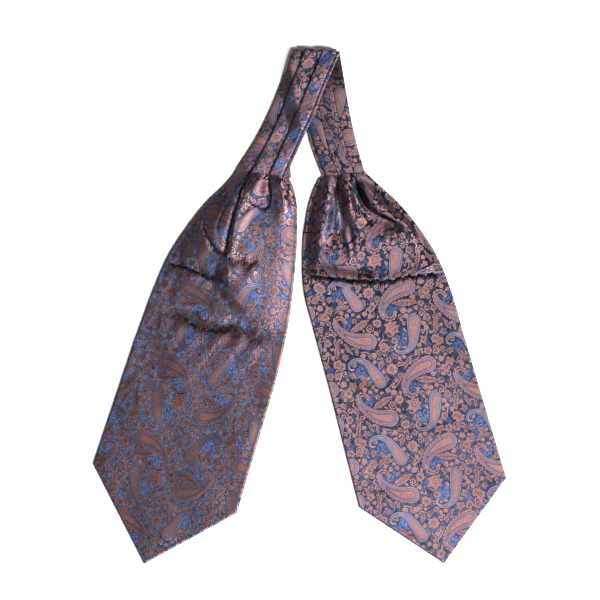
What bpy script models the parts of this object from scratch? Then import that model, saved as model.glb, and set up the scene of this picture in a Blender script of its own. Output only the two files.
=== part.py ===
"""Silk day cravat, laid flat: a pleated neckband folded over at the nape and two wide pointed blades.

The two halves are built alike. Each half is drawn in its own plan frame: s runs down the blade from the
stitched seam that holds the pleats, and q runs across it, negative towards the outer edge and positive
towards the other half. The right half is the mirror image of the left one, laid at its own angle. Sizes are
in millimetres until a mesh is made, and metres after that. +Z is up, +Y points to the folded end, and the
cloth rests on z = 0.
"""

import math
from typing import NamedTuple

import bpy
import numpy as np

MM = 0.001

# Cloth
WALL = 1.0  # one layer of silk with its interlining
SEAM_GAP = 0.3  # clearance between separate pieces
LAYER = WALL + SEAM_GAP  # rise from one folded layer to the next
BACK_THICK = 1.0
FRONT_MID = BACK_THICK + SEAM_GAP + WALL / 2  # middle of the front panel's wall where it lies flat

# Folded edge of a blade: inset from the outline and height of the wall's middle, from the rim inwards
EDGE_ROLL = ((0.62, 0.0), (0.5, 0.85), (0.85, 1.55), (1.8, FRONT_MID))

# Neckband stack: heights of its layers, and where the three pleats end as shares of its width
BAND_BASE = 2.1
BAND_FIRST = 4.5
BAND_SECOND = 5.3
BAND_INNER_PLEAT = 0.925
BAND_SLOT = 3.0  # how far the gap under a pleat's edge reaches in
BAND_SLOT_GAP = 0.3
BAND_LIFT = BAND_SECOND + 0.4  # height at which the upper leg lies on the lower one
FOLD_AXIS = BAND_SECOND + 0.2  # height of the axis that the nape fold turns about
TUCK_LENGTH = 13.0  # end of the upper leg where the hidden layer's corner sticks out
TUCK_REACH = 5.2
TUCK_TOP = 1.3

# How much of a blade's length has sections of its own: below this it is flat
FOLDED_LENGTH = 215.0
PLAIN_ROWS = 2
PLEAT_STEPS = (0, 3, 6.5, 10, 14, 18, 23, 28, 34, 41, 49, 58, 67, 77)
PUFF_STEPS = (87, 96, 105, 113, 120, 127, 136, 150, 165, 180, 195)
SECTION_STEPS = PLEAT_STEPS + PUFF_STEPS
LOBE_POINTS = 6  # section points on each lobe between two folds
TURN_POINTS = 4  # section points on each half turn of a fold
RETURN_POINTS = 1  # section points on the hidden layer of a fold
SEAM_RUN = 45.0  # how far down the blade its rows still follow the slant of the seam

# How the puffed part fades in below the seam, and towards the blade's edges
PUFF_START = 25.0
PUFF_RUN = 45.0
PUFF_SIDE = 22.0
DROP_FADE = 12.0

# Slope that falls to the inner edge: where it ends short of the edge
RAMP_MARGIN = 4.0

# Fold where the puffed part of the right blade ends over the flat part
LAP_RISE = 1.9
LAP_REACH = 6.0
LAP_EDGE = 8.0
LAP_SIDE = 14.0
LAP_START = 40.0
LAP_RUN = 40.0

# Upper leg of the neckband: how it comes down beside the lower one
REST_REACH = 21.0
REST_RUN = 17.0
DESCENT_START = 0.6
DESCENT_RUN = 0.2
DESCENT_MARGIN = 4.0
DESCENT_WIDTH = 8.0

# Rings along the neckband: shares of a leg's length, and turns round the nape in degrees
UPPER_SHARES = (0.015, 0.1, 0.22, 0.34, 0.46, 0.56, 0.64, 0.72, 0.8, 0.88, 0.915, 0.94, 0.97, 1.0)
LOWER_SHARES = (0.0023, 0.125, 0.25, 0.375, 0.5, 0.625, 0.75, 0.875, 1.0)
NAPE_TURNS = (-90, 75, 9)  # first, last and how many
SHARP_EDGE = 40  # degrees


class Half(NamedTuple):
    """One half of the cravat. Tables have one row for each station along s, or along the neckband's leg."""

    name: str
    origin: tuple  # x, y of s = 0, q = 0
    lean: float  # degrees from straight down to the blade's axis, positive towards +X
    mirror: int  # 1 where +q points to the viewer's right, -1 where it points to the left
    outline: tuple  # s, outer edge q, inner edge q
    outer_fold: tuple  # s, crease q, overhang over the valley, rise of the crease
    inner_fold: tuple  # the same for the fold nearer the other half
    lobes: tuple  # s, height of the outer, middle and inner lobe
    lobe_peaks: tuple  # place of each lobe's top as a share of its width
    drops: tuple  # cross creases: s at the outer and the inner edge, bow, height lost, run, q from, q to
    ramp: tuple  # s, q of the ridge of a slope that falls to the inner edge, its height, its run outwards
    lap: tuple  # q, s of the fold where the puffed part ends over the flat part
    floors: tuple  # s, heights of the outer and the inner valley as shares of the lobe beside them
    point: tuple  # s, q of the outer corner, of the tip and of the inner corner
    leg: tuple  # share of the leg's length, outer x, outer y, inner x, inner y
    pleats: tuple  # share of the leg's length, share of its width at the first and at the second pleat edge


LEFT = Half(
    name="left",
    origin=(-41.6, 139.3),
    lean=-16.5,
    mirror=1,
    outline=(
        (-6, -27.5, 25.6),
        (0, -28.8, 29.5),
        (9, -31.5, 37),
        (20, -36.5, 44),
        (45, -50, 54),
        (75, -62, 61),
        (110, -72.5, 68),
        (150, -77.7, 74),
        (200, -81, 77.5),
        (280, -84.5, 77.8),
        (350, -86, 78),
    ),
    outer_fold=(
        (-6, -11, 8, 2.7),
        (0, -11.3, 7.5, 3.2),
        (8, -12.7, 5, 5),
        (18, -15.3, 1, 5.6),
        (31, -15.2, 0, 4.6),
        (52, -15, -0.6, 3.6),
        (70, -13.4, -1.4, 3),
        (84, -11.3, -3.5, 2.2),
        (95, -13.5, -7, 1),
        (110, -14, -9, 0),
        (215, -14, -9, 0),
    ),
    inner_fold=(
        (-6, 8.2, 8, 2.7),
        (0, 9.2, 7.5, 3.2),
        (6, 11.5, 5, 4.5),
        (14, 14.5, 1, 4.6),
        (24, 18.3, -1, 3.4),
        (32, 17, -4, 1.2),
        (42, 14, -6, 0.3),
        (55, 12, -8, 0),
        (215, 12, -9, 0),
    ),
    lobes=(
        (-6, 0, 0, 0),
        (0, 0.6, 0.5, 0.5),
        (10, 3.5, 4, 3),
        (19, 5, 5.2, 4.5),
        (30, 6.5, 2, 4.4),
        (40, 7, 4.4, 3.6),
        (60, 6.5, 6, 2.4),
        (82, 5.4, 5.6, 2),
        (98, 4, 3, 1.6),
        (112, 2.6, 2.4, 1.2),
        (135, 0.8, 1, 1),
        (160, 0, 0, 0),
        (215, 0, 0, 0),
    ),
    lobe_peaks=(0.84, 0.42, 0.5),
    drops=((115, 115, 0, 1.2, 12, -95, -8), (166, 166, 5, 1.4, 18, -60, 95)),
    ramp=(
        (0, -11, 0, 5),
        (20, -14, 3, 5),
        (40, -15, 7, 5),
        (65, -14, 9, 5),
        (85, -11, 9.5, 7),
        (100, -8, 8.5, 14),
        (115, -3, 7.5, 22),
        (127, 3, 6.5, 28),
        (138, 16, 4, 30),
        (148, 34, 1.6, 30),
        (158, 44, 0, 30),
        (215, 44, 0, 30),
    ),
    lap=(),
    floors=(
        (-6, 0, 0),
        (8, 0, 0),
        (30, 0.8, 0),
        (45, 0.85, 0.5),
        (60, 0.85, 1),
        (82, 0.9, 1),
        (100, 1, 1),
        (215, 1, 1),
    ),
    point=((349.6, -86.5), (437.8, -2.7), (356.5, 78.0)),
    leg=(
        (0, -8.6, 273.8, 43.2, 271.1),
        (0.25, -20.8, 242.0, 28.4, 237.7),
        (0.5, -33.5, 210.3, 14.9, 204.4),
        (0.75, -49.5, 178.6, -0.5, 171.1),
        (1, -69.7, 146.9, -15.1, 137.7),
    ),
    pleats=((0, 0.25, 0.62), (0.6, 0.28, 0.62), (1, 0.31, 0.66)),
)

RIGHT = Half(
    name="right",
    origin=(46.4, 139.3),
    lean=15.1,
    mirror=-1,
    outline=(
        (-5, -23.6, 22.4),
        (0, -24.6, 26.2),
        (9, -29.7, 34),
        (20, -36.5, 42.5),
        (45, -51, 56.5),
        (75, -64.5, 66.5),
        (110, -75.5, 74),
        (150, -80.5, 74.6),
        (200, -81.5, 74.6),
        (280, -83.2, 75.3),
        (360, -85, 76.6),
    ),
    outer_fold=(
        (-5, -10.2, 7, 2.7),
        (0, -10.4, 6.5, 3.2),
        (7, -10.3, 4.5, 4.6),
        (16, -9.5, -1, 4.4),
        (28, -8, -4, 2.8),
        (40, -10, -5.5, 1.6),
        (50, -17, -6.5, 1.1),
        (60, -27.5, -8, 0.7),
        (68, -35, -9, 0.3),
        (78, -34, -10, 0),
        (90, -30, -10, 0),
        (215, -30, -10, 0),
    ),
    inner_fold=(
        (-5, 6.4, 7, 2.7),
        (0, 7.4, 6.5, 3.2),
        (7, 9.6, 4.5, 4.6),
        (16, 12, 0.5, 4.8),
        (28, 14.2, -2.5, 3.4),
        (44, 20, -5, 2),
        (61, 27, -7, 0.8),
        (76, 31, -8, 0.2),
        (90, 33, -9, 0),
        (215, 30, -9, 0),
    ),
    lobes=(
        (-5, 0, 0, 0),
        (0, 0.6, 0.5, 0.5),
        (8, 3, 3, 2.6),
        (18, 6.5, 5.4, 4.6),
        (30, 8.6, 6.4, 5.8),
        (42, 8.8, 5.4, 6.4),
        (56, 7.2, 4.4, 6.2),
        (68, 5.6, 4.4, 5.4),
        (84, 4.8, 3.8, 4.2),
        (100, 4, 2.8, 2.4),
        (126, 3, 2, 1.6),
        (150, 0, 0, 0),
        (215, 0, 0, 0),
    ),
    lobe_peaks=(0.74, 0.5, 0.42),
    drops=(),
    ramp=((-5, 0, 0, 5), (215, 0, 0, 5)),
    lap=(
        (-76, 122),
        (-64, 124),
        (-48, 123),
        (-35, 121),
        (-25, 124),
        (8, 116),
        (26, 110),
        (46, 102),
        (70, 93),
    ),
    floors=((-5, 0, 0), (56, 0, 0), (66, 0.5, 0.6), (76, 1, 1), (215, 1, 1)),
    point=((360.8, -85.4), (432.5, 3.7), (349.6, 76.8)),
    leg=(
        (0, 43.2, 271.1, -7.6, 273.2),
        (0.25, 48.6, 238.7, -2.7, 239.8),
        (0.5, 54.0, 207.4, 3.2, 206.3),
        (0.75, 60.8, 176.0, 11.3, 171.7),
        (1, 69.7, 144.2, 23.8, 137.7),
    ),
    pleats=((0, 0.29, 0.64), (1, 0.25, 0.63)),
)

SILK_COLOUR = (0.16, 0.13, 0.19, 1.0)
SILK_ROUGHNESS = 0.45


def smooth(x):
    """Eases from 0 to 1 while x does."""
    x = np.clip(x, 0.0, 1.0)
    return x * x * (3 - 2 * x)


def read(table, at):
    """The table's other columns at a value of its first column, on a smooth curve through its rows."""
    rows = np.array(table, float)
    first, values = rows[:, 0], rows[:, 1:]
    slopes = np.gradient(values, first, axis=0)
    at = min(max(at, first[0]), first[-1])
    i = int(np.clip(np.searchsorted(first, at) - 1, 0, len(first) - 2))
    step = first[i + 1] - first[i]
    t = (at - first[i]) / step
    return (
        values[i] * (1 + 2 * t) * (1 - t) ** 2
        + slopes[i] * step * t * (1 - t) ** 2
        + values[i + 1] * (3 - 2 * t) * t * t
        + slopes[i + 1] * step * t * t * (t - 1)
    )


def axes(half):
    """The directions of s and of q in plan."""
    down = math.radians(half.lean)
    along = np.array([math.sin(down), -math.cos(down)])
    across = half.mirror * np.array([-along[1], along[0]])
    return along, across


def plan(half, s, q):
    """x and y of points given in a half's own frame."""
    along, across = axes(half)
    return np.array(half.origin) + np.multiply.outer(s, along) + np.multiply.outer(q, across)


def own_frame(half, x, y):
    """s and q of a point in plan."""
    along, across = axes(half)
    away = np.array([x, y]) - half.origin
    return away @ along, away @ across


def fold_points(crease, overhang, rise):
    """The points of one fold, from its valley to its crease.

    While it overhangs, it is a hidden layer between two half turns, and once it has opened it is a slope.
    """
    valley = crease + overhang
    step = min(LAYER, rise / 2)
    turn = np.linspace(-math.pi / 2, math.pi / 2, TURN_POINTS)
    bulge = step / 2 * smooth(overhang / 3) * np.cos(turn)
    lift = step / 2 * (1 + np.sin(turn))
    hidden = np.arange(1, RETURN_POINTS + 1) / (RETURN_POINTS + 1)
    folded = np.concatenate(
        [
            np.column_stack([valley + bulge, lift]),
            np.column_stack([valley - overhang * hidden, step + (rise - 2 * step) * hidden]),
            np.column_stack([crease - bulge, rise - step + lift]),
        ]
    )
    share = np.linspace(0, 1, len(folded))
    opened = np.column_stack([valley - overhang * share, rise * smooth(share)])
    weight = smooth((2 - overhang) / 4)
    return folded * (1 - weight) + opened * weight


def lobe_points(start, end, settle, rise, height, peak, floor):
    """The points between two folds, or between a fold and an edge.

    The cloth comes down by rise while q goes through settle, and swells to height over a floor that goes from
    its one end's level to its other's.
    """
    share = np.arange(1, LOBE_POINTS + 1) / (LOBE_POINTS + 1)
    q = start + (end - start) * share
    swell = np.where(
        share < peak,
        np.sin(math.pi / 2 * share / peak) ** 2,
        np.cos(math.pi / 2 * (share - peak) / (1 - peak)) ** 2,
    )
    low, high = settle
    descent = 1 - smooth((q - low) / max(high - low, 2.0))
    level = floor[0] + (floor[1] - floor[0]) * smooth(share)
    return np.column_stack([q, rise * descent + level + np.maximum(height - level, 0) * swell])


def drop_height(half, s, q):
    """Height above the flat cloth that the puffed part keeps until it meets the cross creases."""
    height = np.zeros_like(q)
    outer, inner = read(half.outline, s)
    for s_outer, s_inner, bow, lost, run, q_from, q_to in half.drops:
        share = np.clip((q - outer) / (inner - outer), 0, 1)
        line = s_outer + (s_inner - s_outer) * share + bow * np.sin(math.pi * share)
        sides = smooth((q - outer) / PUFF_SIDE) * smooth((inner - q) / PUFF_SIDE)
        reach = smooth((q - q_from) / DROP_FADE) * smooth((q_to - q) / DROP_FADE)
        start = smooth((s - PUFF_START) / PUFF_RUN)
        height += lost * sides * reach * start * smooth((line - s) / run)
    return height


def ramp_height(half, s, q, inner):
    """Height of the slope that falls from its ridge to the inner edge, and more steeply outwards."""
    ridge, height, run = read(half.ramp, s)
    foot = inner - RAMP_MARGIN
    fall = np.clip((foot - q) / (foot - ridge), 0, 1)
    climb = smooth((q - ridge + run) / run)
    return max(height, 0.0) * fall * climb


def lap_shape(half, s, q, z):
    """Ends the puffed part at the lap, with a rounded fold."""
    if not half.lap:
        return z
    places, line = np.array(half.lap, float).T
    before = np.interp(q, places, line) - s
    outer, inner = read(half.outline, s)
    sides = smooth((q - outer) / LAP_SIDE) * smooth((inner - q) / LAP_SIDE)
    roll = np.exp(-((np.maximum(before, 0) / LAP_REACH) ** 2)) * smooth((s - LAP_START) / LAP_RUN)
    return (z + LAP_RISE * sides * roll) * smooth(before / LAP_EDGE)


def front_section(half, s):
    """q and z of the middle of the front panel's wall, across the blade at s."""
    outer, inner = read(half.outline, s)
    crease_1, overhang_1, rise_1 = read(half.outer_fold, s)
    crease_2, overhang_2, rise_2 = read(half.inner_fold, s)
    rise_1, rise_2 = max(rise_1, 0.0), max(rise_2, 0.0)
    heights = np.maximum(read(half.lobes, s), 0)
    valley_1, valley_2 = crease_1 + overhang_1, crease_2 + overhang_2
    shares = np.clip(read(half.floors, s), 0, 1)
    floor_1 = heights[0] * shares[0]
    floor_2 = min(heights[1], heights[2]) * shares[1]
    inset = EDGE_ROLL[-1][0]
    start, end = outer + inset, inner - inset
    peaks = half.lobe_peaks
    first = lobe_points(start, valley_1, (start, end), 0, heights[0], peaks[0], (0, floor_1))
    settle = (max(crease_1, valley_1) + 1, min(crease_2, valley_2) - 1)
    middle = lobe_points(crease_1, valley_2, settle, rise_1, heights[1], peaks[1], (floor_1, floor_2))
    settle = (max(crease_2, valley_2) + 1, end - 1)
    last = lobe_points(crease_2, end, settle, rise_2, heights[2], peaks[2], (floor_2, 0))
    inside = np.concatenate(
        [
            [[start, 0]],
            first,
            fold_points(crease_1, overhang_1, rise_1) + (0, floor_1),
            middle,
            fold_points(crease_2, overhang_2, rise_2) + (0, floor_2),
            last,
            [[end, 0]],
        ]
    )
    ramp = ramp_height(half, s, inside[:, 0], inner)
    inside[:, 1] = (np.maximum(inside[:, 1], 0) ** 3 + ramp**3) ** (1 / 3)
    inside[:, 1] = lap_shape(half, s, inside[:, 0], inside[:, 1])
    inside[:, 1] += FRONT_MID + drop_height(half, s, inside[:, 0])
    roll = np.array(EDGE_ROLL[:-1])
    outer_roll = np.column_stack([outer + roll[:, 0], roll[:, 1]])
    inner_roll = np.column_stack([inner - roll[:, 0], roll[:, 1]])[::-1]
    return np.concatenate([outer_roll, inside, inner_roll])


def bottom_edge(half, q):
    """s of the pointed end at q."""
    (s_outer, q_outer), (s_tip, q_tip), (s_inner, q_inner) = half.point
    outer_side = s_tip + (q - q_tip) * (s_tip - s_outer) / (q_tip - q_outer)
    inner_side = s_tip + (q - q_tip) * (s_inner - s_tip) / (q_inner - q_tip)
    return np.minimum(outer_side, inner_side)


def seam_line(half, q):
    """s of the stitched seam at q, where the leg of the neckband ends."""
    end = half.leg[-1]
    s_outer, q_outer = own_frame(half, end[1], end[2])
    s_inner, q_inner = own_frame(half, end[3], end[4])
    return s_outer + (q - q_outer) * (s_inner - s_outer) / (q_inner - q_outer) + SEAM_GAP


def front_grid(half):
    """The middle of the front panel's wall, as rows of points from the seam to the pointed end."""
    rows = []
    for step in (*SECTION_STEPS, FOLDED_LENGTH):
        section = front_section(half, step)
        shift = seam_line(half, section[:, 0]) * (1 - smooth(step / SEAM_RUN))
        rows.append(np.column_stack([step + shift, section]))
    top = rows[-1]
    outer_0, inner_0 = read(half.outline, FOLDED_LENGTH)
    share = (top[:, 1] - outer_0) / (inner_0 - outer_0)
    (_, q_outer), (_, q_tip), (_, q_inner) = half.point
    q_end = q_outer + (q_inner - q_outer) * share
    tip = int(np.argmin(np.abs(q_end - q_tip)))
    q_end[tip] = q_tip
    slopes = [bottom_edge(half, q_tip + side) - bottom_edge(half, q_tip) for side in (-1, 1)]
    tilt = np.where(q_end < q_tip, math.hypot(1, slopes[0]), math.hypot(1, slopes[1]))
    stations = [(n / (PLAIN_ROWS + 1), None) for n in range(1, PLAIN_ROWS + 1)]
    stations += [(1.0, edge) for edge in reversed(EDGE_ROLL)]
    for part, edge in stations:
        inset = (EDGE_ROLL[-1] if edge is None else edge)[0]
        s_end = bottom_edge(half, q_end) - inset * tilt
        s = FOLDED_LENGTH + (s_end - FOLDED_LENGTH) * part
        q = top[:, 1] + (q_end - top[:, 1]) * part
        z = top[:, 2] if edge is None else np.minimum(top[:, 2], edge[1])
        rows.append(np.column_stack([s, q, z]))
    return np.array(rows)


def to_world(half, grid):
    """The grid's s, q and z as x, y and z."""
    return np.dstack([plan(half, grid[..., 0], grid[..., 1]), grid[..., 2]])


def normals(grid):
    """Unit normals of a grid of points."""
    down = np.gradient(grid, axis=0)
    across = np.gradient(grid, axis=1)
    normal = np.cross(down, across)
    return normal / np.linalg.norm(normal, axis=2, keepdims=True)


def silk_material(name):
    """The silk's plain finish."""
    material = bpy.data.materials.new(name)
    material.use_nodes = True
    shader = material.node_tree.nodes["Principled BSDF"]
    shader.inputs["Base Color"].default_value = SILK_COLOUR
    shader.inputs["Roughness"].default_value = SILK_ROUGHNESS
    shader.inputs["Metallic"].default_value = 0.0
    return material


def add_object(name, data, collection):
    """An object with its own material, in the cravat's collection."""
    made = bpy.data.objects.new(name, data)
    data.materials.append(silk_material(name + "_silk"))
    collection.objects.link(made)
    return made


def loft(name, rings, collection):
    """A closed solid through rings of as many points each, with its first and last ring filled."""
    rows, count = rings.shape[:2]
    faces = [tuple(range(count))[::-1], tuple(range((rows - 1) * count, rows * count))]
    for i in range(rows - 1):
        for j in range(count):
            k = (j + 1) % count
            faces.append((i * count + j, i * count + k, (i + 1) * count + k, (i + 1) * count + j))
    mesh = bpy.data.meshes.new(name)
    mesh.from_pydata((rings.reshape(-1, 3) * MM).tolist(), [], faces)
    mesh.validate()
    mesh.shade_smooth()
    mesh.set_sharp_from_angle(angle=math.radians(SHARP_EDGE))
    return add_object(name, mesh, collection)


def face_out(made):
    """Turns the mesh's faces outwards."""
    mesh = made.data
    mesh.calc_loop_triangles()
    corners = [[mesh.vertices[i].co for i in t.vertices] for t in mesh.loop_triangles]
    if sum(a.dot(b.cross(c)) for a, b, c in corners) < 0:
        mesh.flip_normals()


def front_panel(half, collection):
    """The blade's front: one wall of silk that swells below the pleats and turns down round its edges."""
    middle = to_world(half, front_grid(half))
    outwards = normals(middle) * half.mirror
    if outwards[..., 2].mean() < 0:
        outwards = -outwards
    top, under = middle + outwards * WALL / 2, middle - outwards * WALL / 2
    for side in (top, under):
        side[..., 2] = np.maximum(side[..., 2], 0)
    rings = np.concatenate([top, under[:, ::-1]], axis=1)
    face_out(loft("blade_front_" + half.name, rings, collection))


def back_panel(half, collection):
    """The blade's back: a flat layer of silk that lies inside the front's turned edges."""
    inset = WALL + 2 * SEAM_GAP
    (s_outer, q_outer), (s_tip, q_tip), (s_inner, q_inner) = half.point
    outer_side, inner_side = [], []
    for s in (*SECTION_STEPS, FOLDED_LENGTH):
        outer, inner = read(half.outline, s)
        for side, q in ((outer_side, outer + inset), (inner_side, inner - inset)):
            side.append((s + seam_line(half, q) * (1 - smooth(s / SEAM_RUN)), q))
    ends = []
    for q in (q_outer + inset, q_tip, q_inner - inset):
        slope = bottom_edge(half, q + 0.5) - bottom_edge(half, q - 0.5)
        if q == q_tip:
            slope = bottom_edge(half, q - 0.5) - bottom_edge(half, q - 1.5)
        ends.append((bottom_edge(half, q) - inset * math.hypot(1, slope), q))
    outline = np.array(outer_side + ends + inner_side[::-1], float)
    flat = plan(half, outline[:, 0], outline[:, 1]) * MM
    curve = bpy.data.curves.new("blade_back_" + half.name, "CURVE")
    curve.dimensions = "2D"
    curve.fill_mode = "BOTH"
    curve.extrude = BACK_THICK / 2 * MM
    spline = curve.splines.new("POLY")
    spline.points.add(len(flat) - 1)
    for point, (x, y) in zip(spline.points, flat):
        point.co = (x, y, 0, 1)
    spline.use_cyclic_u = True
    made = add_object("blade_back_" + half.name, curve, collection)
    made.location.z = BACK_THICK / 2 * MM


def band_section(width, first, second, tuck):
    """The neckband's outline across it, as q and z: a folded base with overlapping pleats.

    first and second are the pleats' edges as shares of the width, and tuck is how far the base's own corner
    sticks out.
    """
    one, two, three = first * width, second * width, BAND_INNER_PLEAT * width
    base, slot, gap = BAND_BASE, BAND_SLOT, BAND_SLOT_GAP
    reach = width + tuck
    corner_top = base + (TUCK_TOP - base) * smooth(tuck / TUCK_REACH)
    return np.array(
        [
            (0.9, 0),
            (width / 2, 0),
            (reach - 0.5, 0),
            (reach, 0.25 * corner_top),
            (reach, 0.75 * corner_top),
            (reach - 0.5, corner_top),
            (width - 0.6, corner_top + (base - corner_top) * 0.5),
            (three + 0.2, base),
            (three - slot, base),
            (three - slot, base + gap),
            (three - 0.6, base + gap),
            (three, base + 1.0),
            (three - 0.1, BAND_SECOND - 1.6),
            (three - 1.2, BAND_SECOND - 0.8),
            ((two + three) / 2, BAND_SECOND - 0.25),
            (two + 1.0, BAND_SECOND),
            (two + 0.2, BAND_SECOND - 0.3),
            (two, BAND_SECOND - 0.8),
            (two + 0.5, BAND_SECOND - 1.2),
            (two + slot, BAND_SECOND - 1.3),
            (two + slot, BAND_SECOND - 1.3 - gap),
            (two - 0.5, BAND_SECOND - 1.4 - gap),
            ((one + two) / 2, BAND_FIRST - 0.35),
            (one + 1.0, BAND_FIRST),
            (one + 0.2, BAND_FIRST - 0.35),
            (one, BAND_FIRST - 1.0),
            (one + 0.5, base + gap + 0.25),
            (one + slot, base + gap + 0.15),
            (one + slot, base + 0.1),
            (one - 0.5, base + 0.1),
            (one / 2, base + 0.25),
            (1.0, base),
            (0.3, base - 0.4),
            (0, base / 2),
            (0.3, 0.4),
        ]
    )


def rest_height(point):
    """How high the upper leg lies at a point in plan: on the lower leg, and down beside it."""
    steps = [row[0] for row in RIGHT.leg]
    y = [row[4] for row in RIGHT.leg]
    edge = np.interp(point[1], y[::-1], [row[3] for row in RIGHT.leg][::-1])
    share = np.interp(point[1], y[::-1], steps[::-1])
    near = smooth((point[0] - edge + REST_REACH) / REST_RUN)
    beside = smooth((edge + DESCENT_MARGIN - point[0]) / DESCENT_WIDTH)
    return BAND_LIFT * near * (1 - smooth((share - DESCENT_START) / DESCENT_RUN) * beside)


def leg_rings(half, shares, lifted):
    """Rings across a leg of the neckband at shares of its length."""
    rings = []
    for share in shares:
        row = read(half.leg, share)
        first, second = read(half.pleats, share)
        outer, inner = row[:2], row[2:]
        width = float(np.linalg.norm(inner - outer))
        length = float(np.linalg.norm(np.array(half.leg[-1][1:3]) - half.leg[0][1:3]))
        near_end = 1 - (1 - share) * length / TUCK_LENGTH
        tuck = TUCK_REACH * float(smooth(near_end)) if lifted else 0.0
        section = band_section(width, first, second, tuck)
        flat = outer + np.multiply.outer(section[:, 0] / width, inner - outer)
        rest = np.array([rest_height(p) for p in flat]) if lifted else np.zeros(len(flat))
        rings.append(np.column_stack([flat, section[:, 1] + rest]))
    return rings


def nape_rings(half, turns):
    """Rings round the nape fold, from its underside to where the upper leg starts."""
    row = half.leg[0]
    outer, inner = np.array(row[1:3]), np.array(row[3:5])
    run = (inner - outer) / np.linalg.norm(inner - outer)
    back = np.array([-run[1], run[0]])
    width = float(np.linalg.norm(inner - outer))
    section = band_section(width, *half.pleats[0][1:], 0.0)
    rings = []
    for turn in turns:
        radius = section[:, 1] + BAND_LIFT - FOLD_AXIS
        flat = outer + np.multiply.outer(section[:, 0], run)
        flat += np.multiply.outer(radius * math.cos(turn), back)
        rings.append(np.column_stack([flat, FOLD_AXIS + radius * math.sin(turn)]))
    return rings


def upper_leg(collection):
    """The leg of the neckband that lies on top, with the fold at the nape."""
    turns = np.radians(np.linspace(*NAPE_TURNS))
    rings = np.array(nape_rings(LEFT, turns) + leg_rings(LEFT, UPPER_SHARES, True))
    rings[..., 2] = np.maximum(rings[..., 2], 0)
    face_out(loft("neckband_left", rings, collection))


def lower_leg(collection):
    """The leg of the neckband that lies underneath."""
    rings = np.array(leg_rings(RIGHT, LOWER_SHARES, False))
    face_out(loft("neckband_right", rings, collection))


def main():
    for old in list(bpy.data.objects):
        bpy.data.objects.remove(old, do_unlink=True)
    cravat = bpy.data.collections.new("silk_cravat")
    bpy.context.scene.collection.children.link(cravat)
    for half in (LEFT, RIGHT):
        front_panel(half, cravat)
        back_panel(half, cravat)
    upper_leg(cravat)
    lower_leg(cravat)


main()
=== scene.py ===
"""Looks of the silk cravat: its jacquard cloth, creases, stitches, floor, light and camera.

The cloth's surfaces are worked out as the solids are, from the same sizes, with finer steps and with
creases laid on. Sizes are in millimetres until a mesh is made, and metres after that. Each half has its own
plan frame: s runs down the blade from the seam that holds the pleats, and q across it, negative towards the
outer edge. The cloth's cut gives the pattern's frame: u runs across the cut cloth and v along it.
"""

import math
from typing import NamedTuple

import bpy
import numpy as np
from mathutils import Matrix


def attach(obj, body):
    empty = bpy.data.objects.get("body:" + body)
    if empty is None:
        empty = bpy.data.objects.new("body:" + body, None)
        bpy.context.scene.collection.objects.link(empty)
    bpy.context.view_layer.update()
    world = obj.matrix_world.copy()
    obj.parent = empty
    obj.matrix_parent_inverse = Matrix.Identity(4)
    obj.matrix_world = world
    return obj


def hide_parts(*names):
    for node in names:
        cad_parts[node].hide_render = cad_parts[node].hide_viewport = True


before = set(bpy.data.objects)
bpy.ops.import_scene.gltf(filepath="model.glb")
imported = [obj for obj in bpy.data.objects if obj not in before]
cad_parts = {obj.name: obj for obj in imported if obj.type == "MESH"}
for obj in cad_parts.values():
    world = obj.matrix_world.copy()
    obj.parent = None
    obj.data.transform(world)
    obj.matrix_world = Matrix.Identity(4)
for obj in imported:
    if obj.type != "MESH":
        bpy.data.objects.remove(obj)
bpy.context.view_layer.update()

MM = 0.001

# Cloth, as in the solids
WALL = 1.0
SEAM_GAP = 0.3
LAYER = WALL + SEAM_GAP
LAP_REACH = 7.0  # how far back from its edge the lap's fold swells
LAP_EDGE = 1.9
LAP_UNDER = 2.6  # cloth that the fold hides
LAP_FOOT = 0.6  # how deep the cloth dips under the fold
LAP_FOOT_RUN = 2.2
LAP_LIP = 0.5
LAP_LIP_RUN = 8
LAP_UNDER_RUN = 7
LAP_SIDES = 14  # the fold eases in over this from the blade's edges
LAP_SWELL_FROM = 40
LAP_SWELL_RUN = 40
BACK_THICK = 1.0
FRONT_MID = BACK_THICK + SEAM_GAP + WALL / 2
EDGE_ROLL = ((0.62, 0.0), (0.5, 0.85), (0.85, 1.55), (1.8, FRONT_MID))
BAND_BASE = 2.1
BAND_FIRST = 4.5
BAND_SECOND = 5.3
BAND_INNER_PLEAT = 0.925
BAND_SLOT = 3.0
BAND_SLOT_GAP = 0.3
BAND_LIFT = BAND_SECOND + 0.4
FOLD_AXIS = BAND_SECOND + 0.2
TUCK_LENGTH = 13.0
TUCK_REACH = 5.2
TUCK_TOP = 1.3
FOLDED_LENGTH = 215.0

# Finer steps for the visible cloth
ROW_STEP = 0.95
LOBE_POINTS = (62, 30, 62)
TURN_POINTS = 7
RETURN_POINTS = 5
BACK_STEP = 1.7
BACK_COLUMNS = 96
BACK_INSET = 0.25
BACK_LIFT = 0.02
BAND_STEP = 1.1
RING_POINTS = 150
CORNER_STEPS = 12
NAPE_TURN = (-90, 82)  # degrees that the cloth turns through at the nape
NAPE_RINGS = 22

# Cut of the sheets in metres: a blade's width and length, a leg's girth, and what legs gain at their ends
BLADE_CUT = (0.19, 0.445)
BAND_GIRTH = 0.135
NAPE_CUT = 0.03
SEAM_CUT = 0.005
HIDDEN_CUT = 15.0  # millimetres of the cut that one pleat of the neckband hides

# Which layer of the cut shows on the neckband
UNDER, TOP, OUTER_PLEAT, INNER_PLEAT = 2.0, 0.0, -1.0, 1.0

# Where the pattern lies on the backs and under the neckband
BACK_PATTERN = (31.0, 22.0)
UNDER_PATTERN = 40.0

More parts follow.
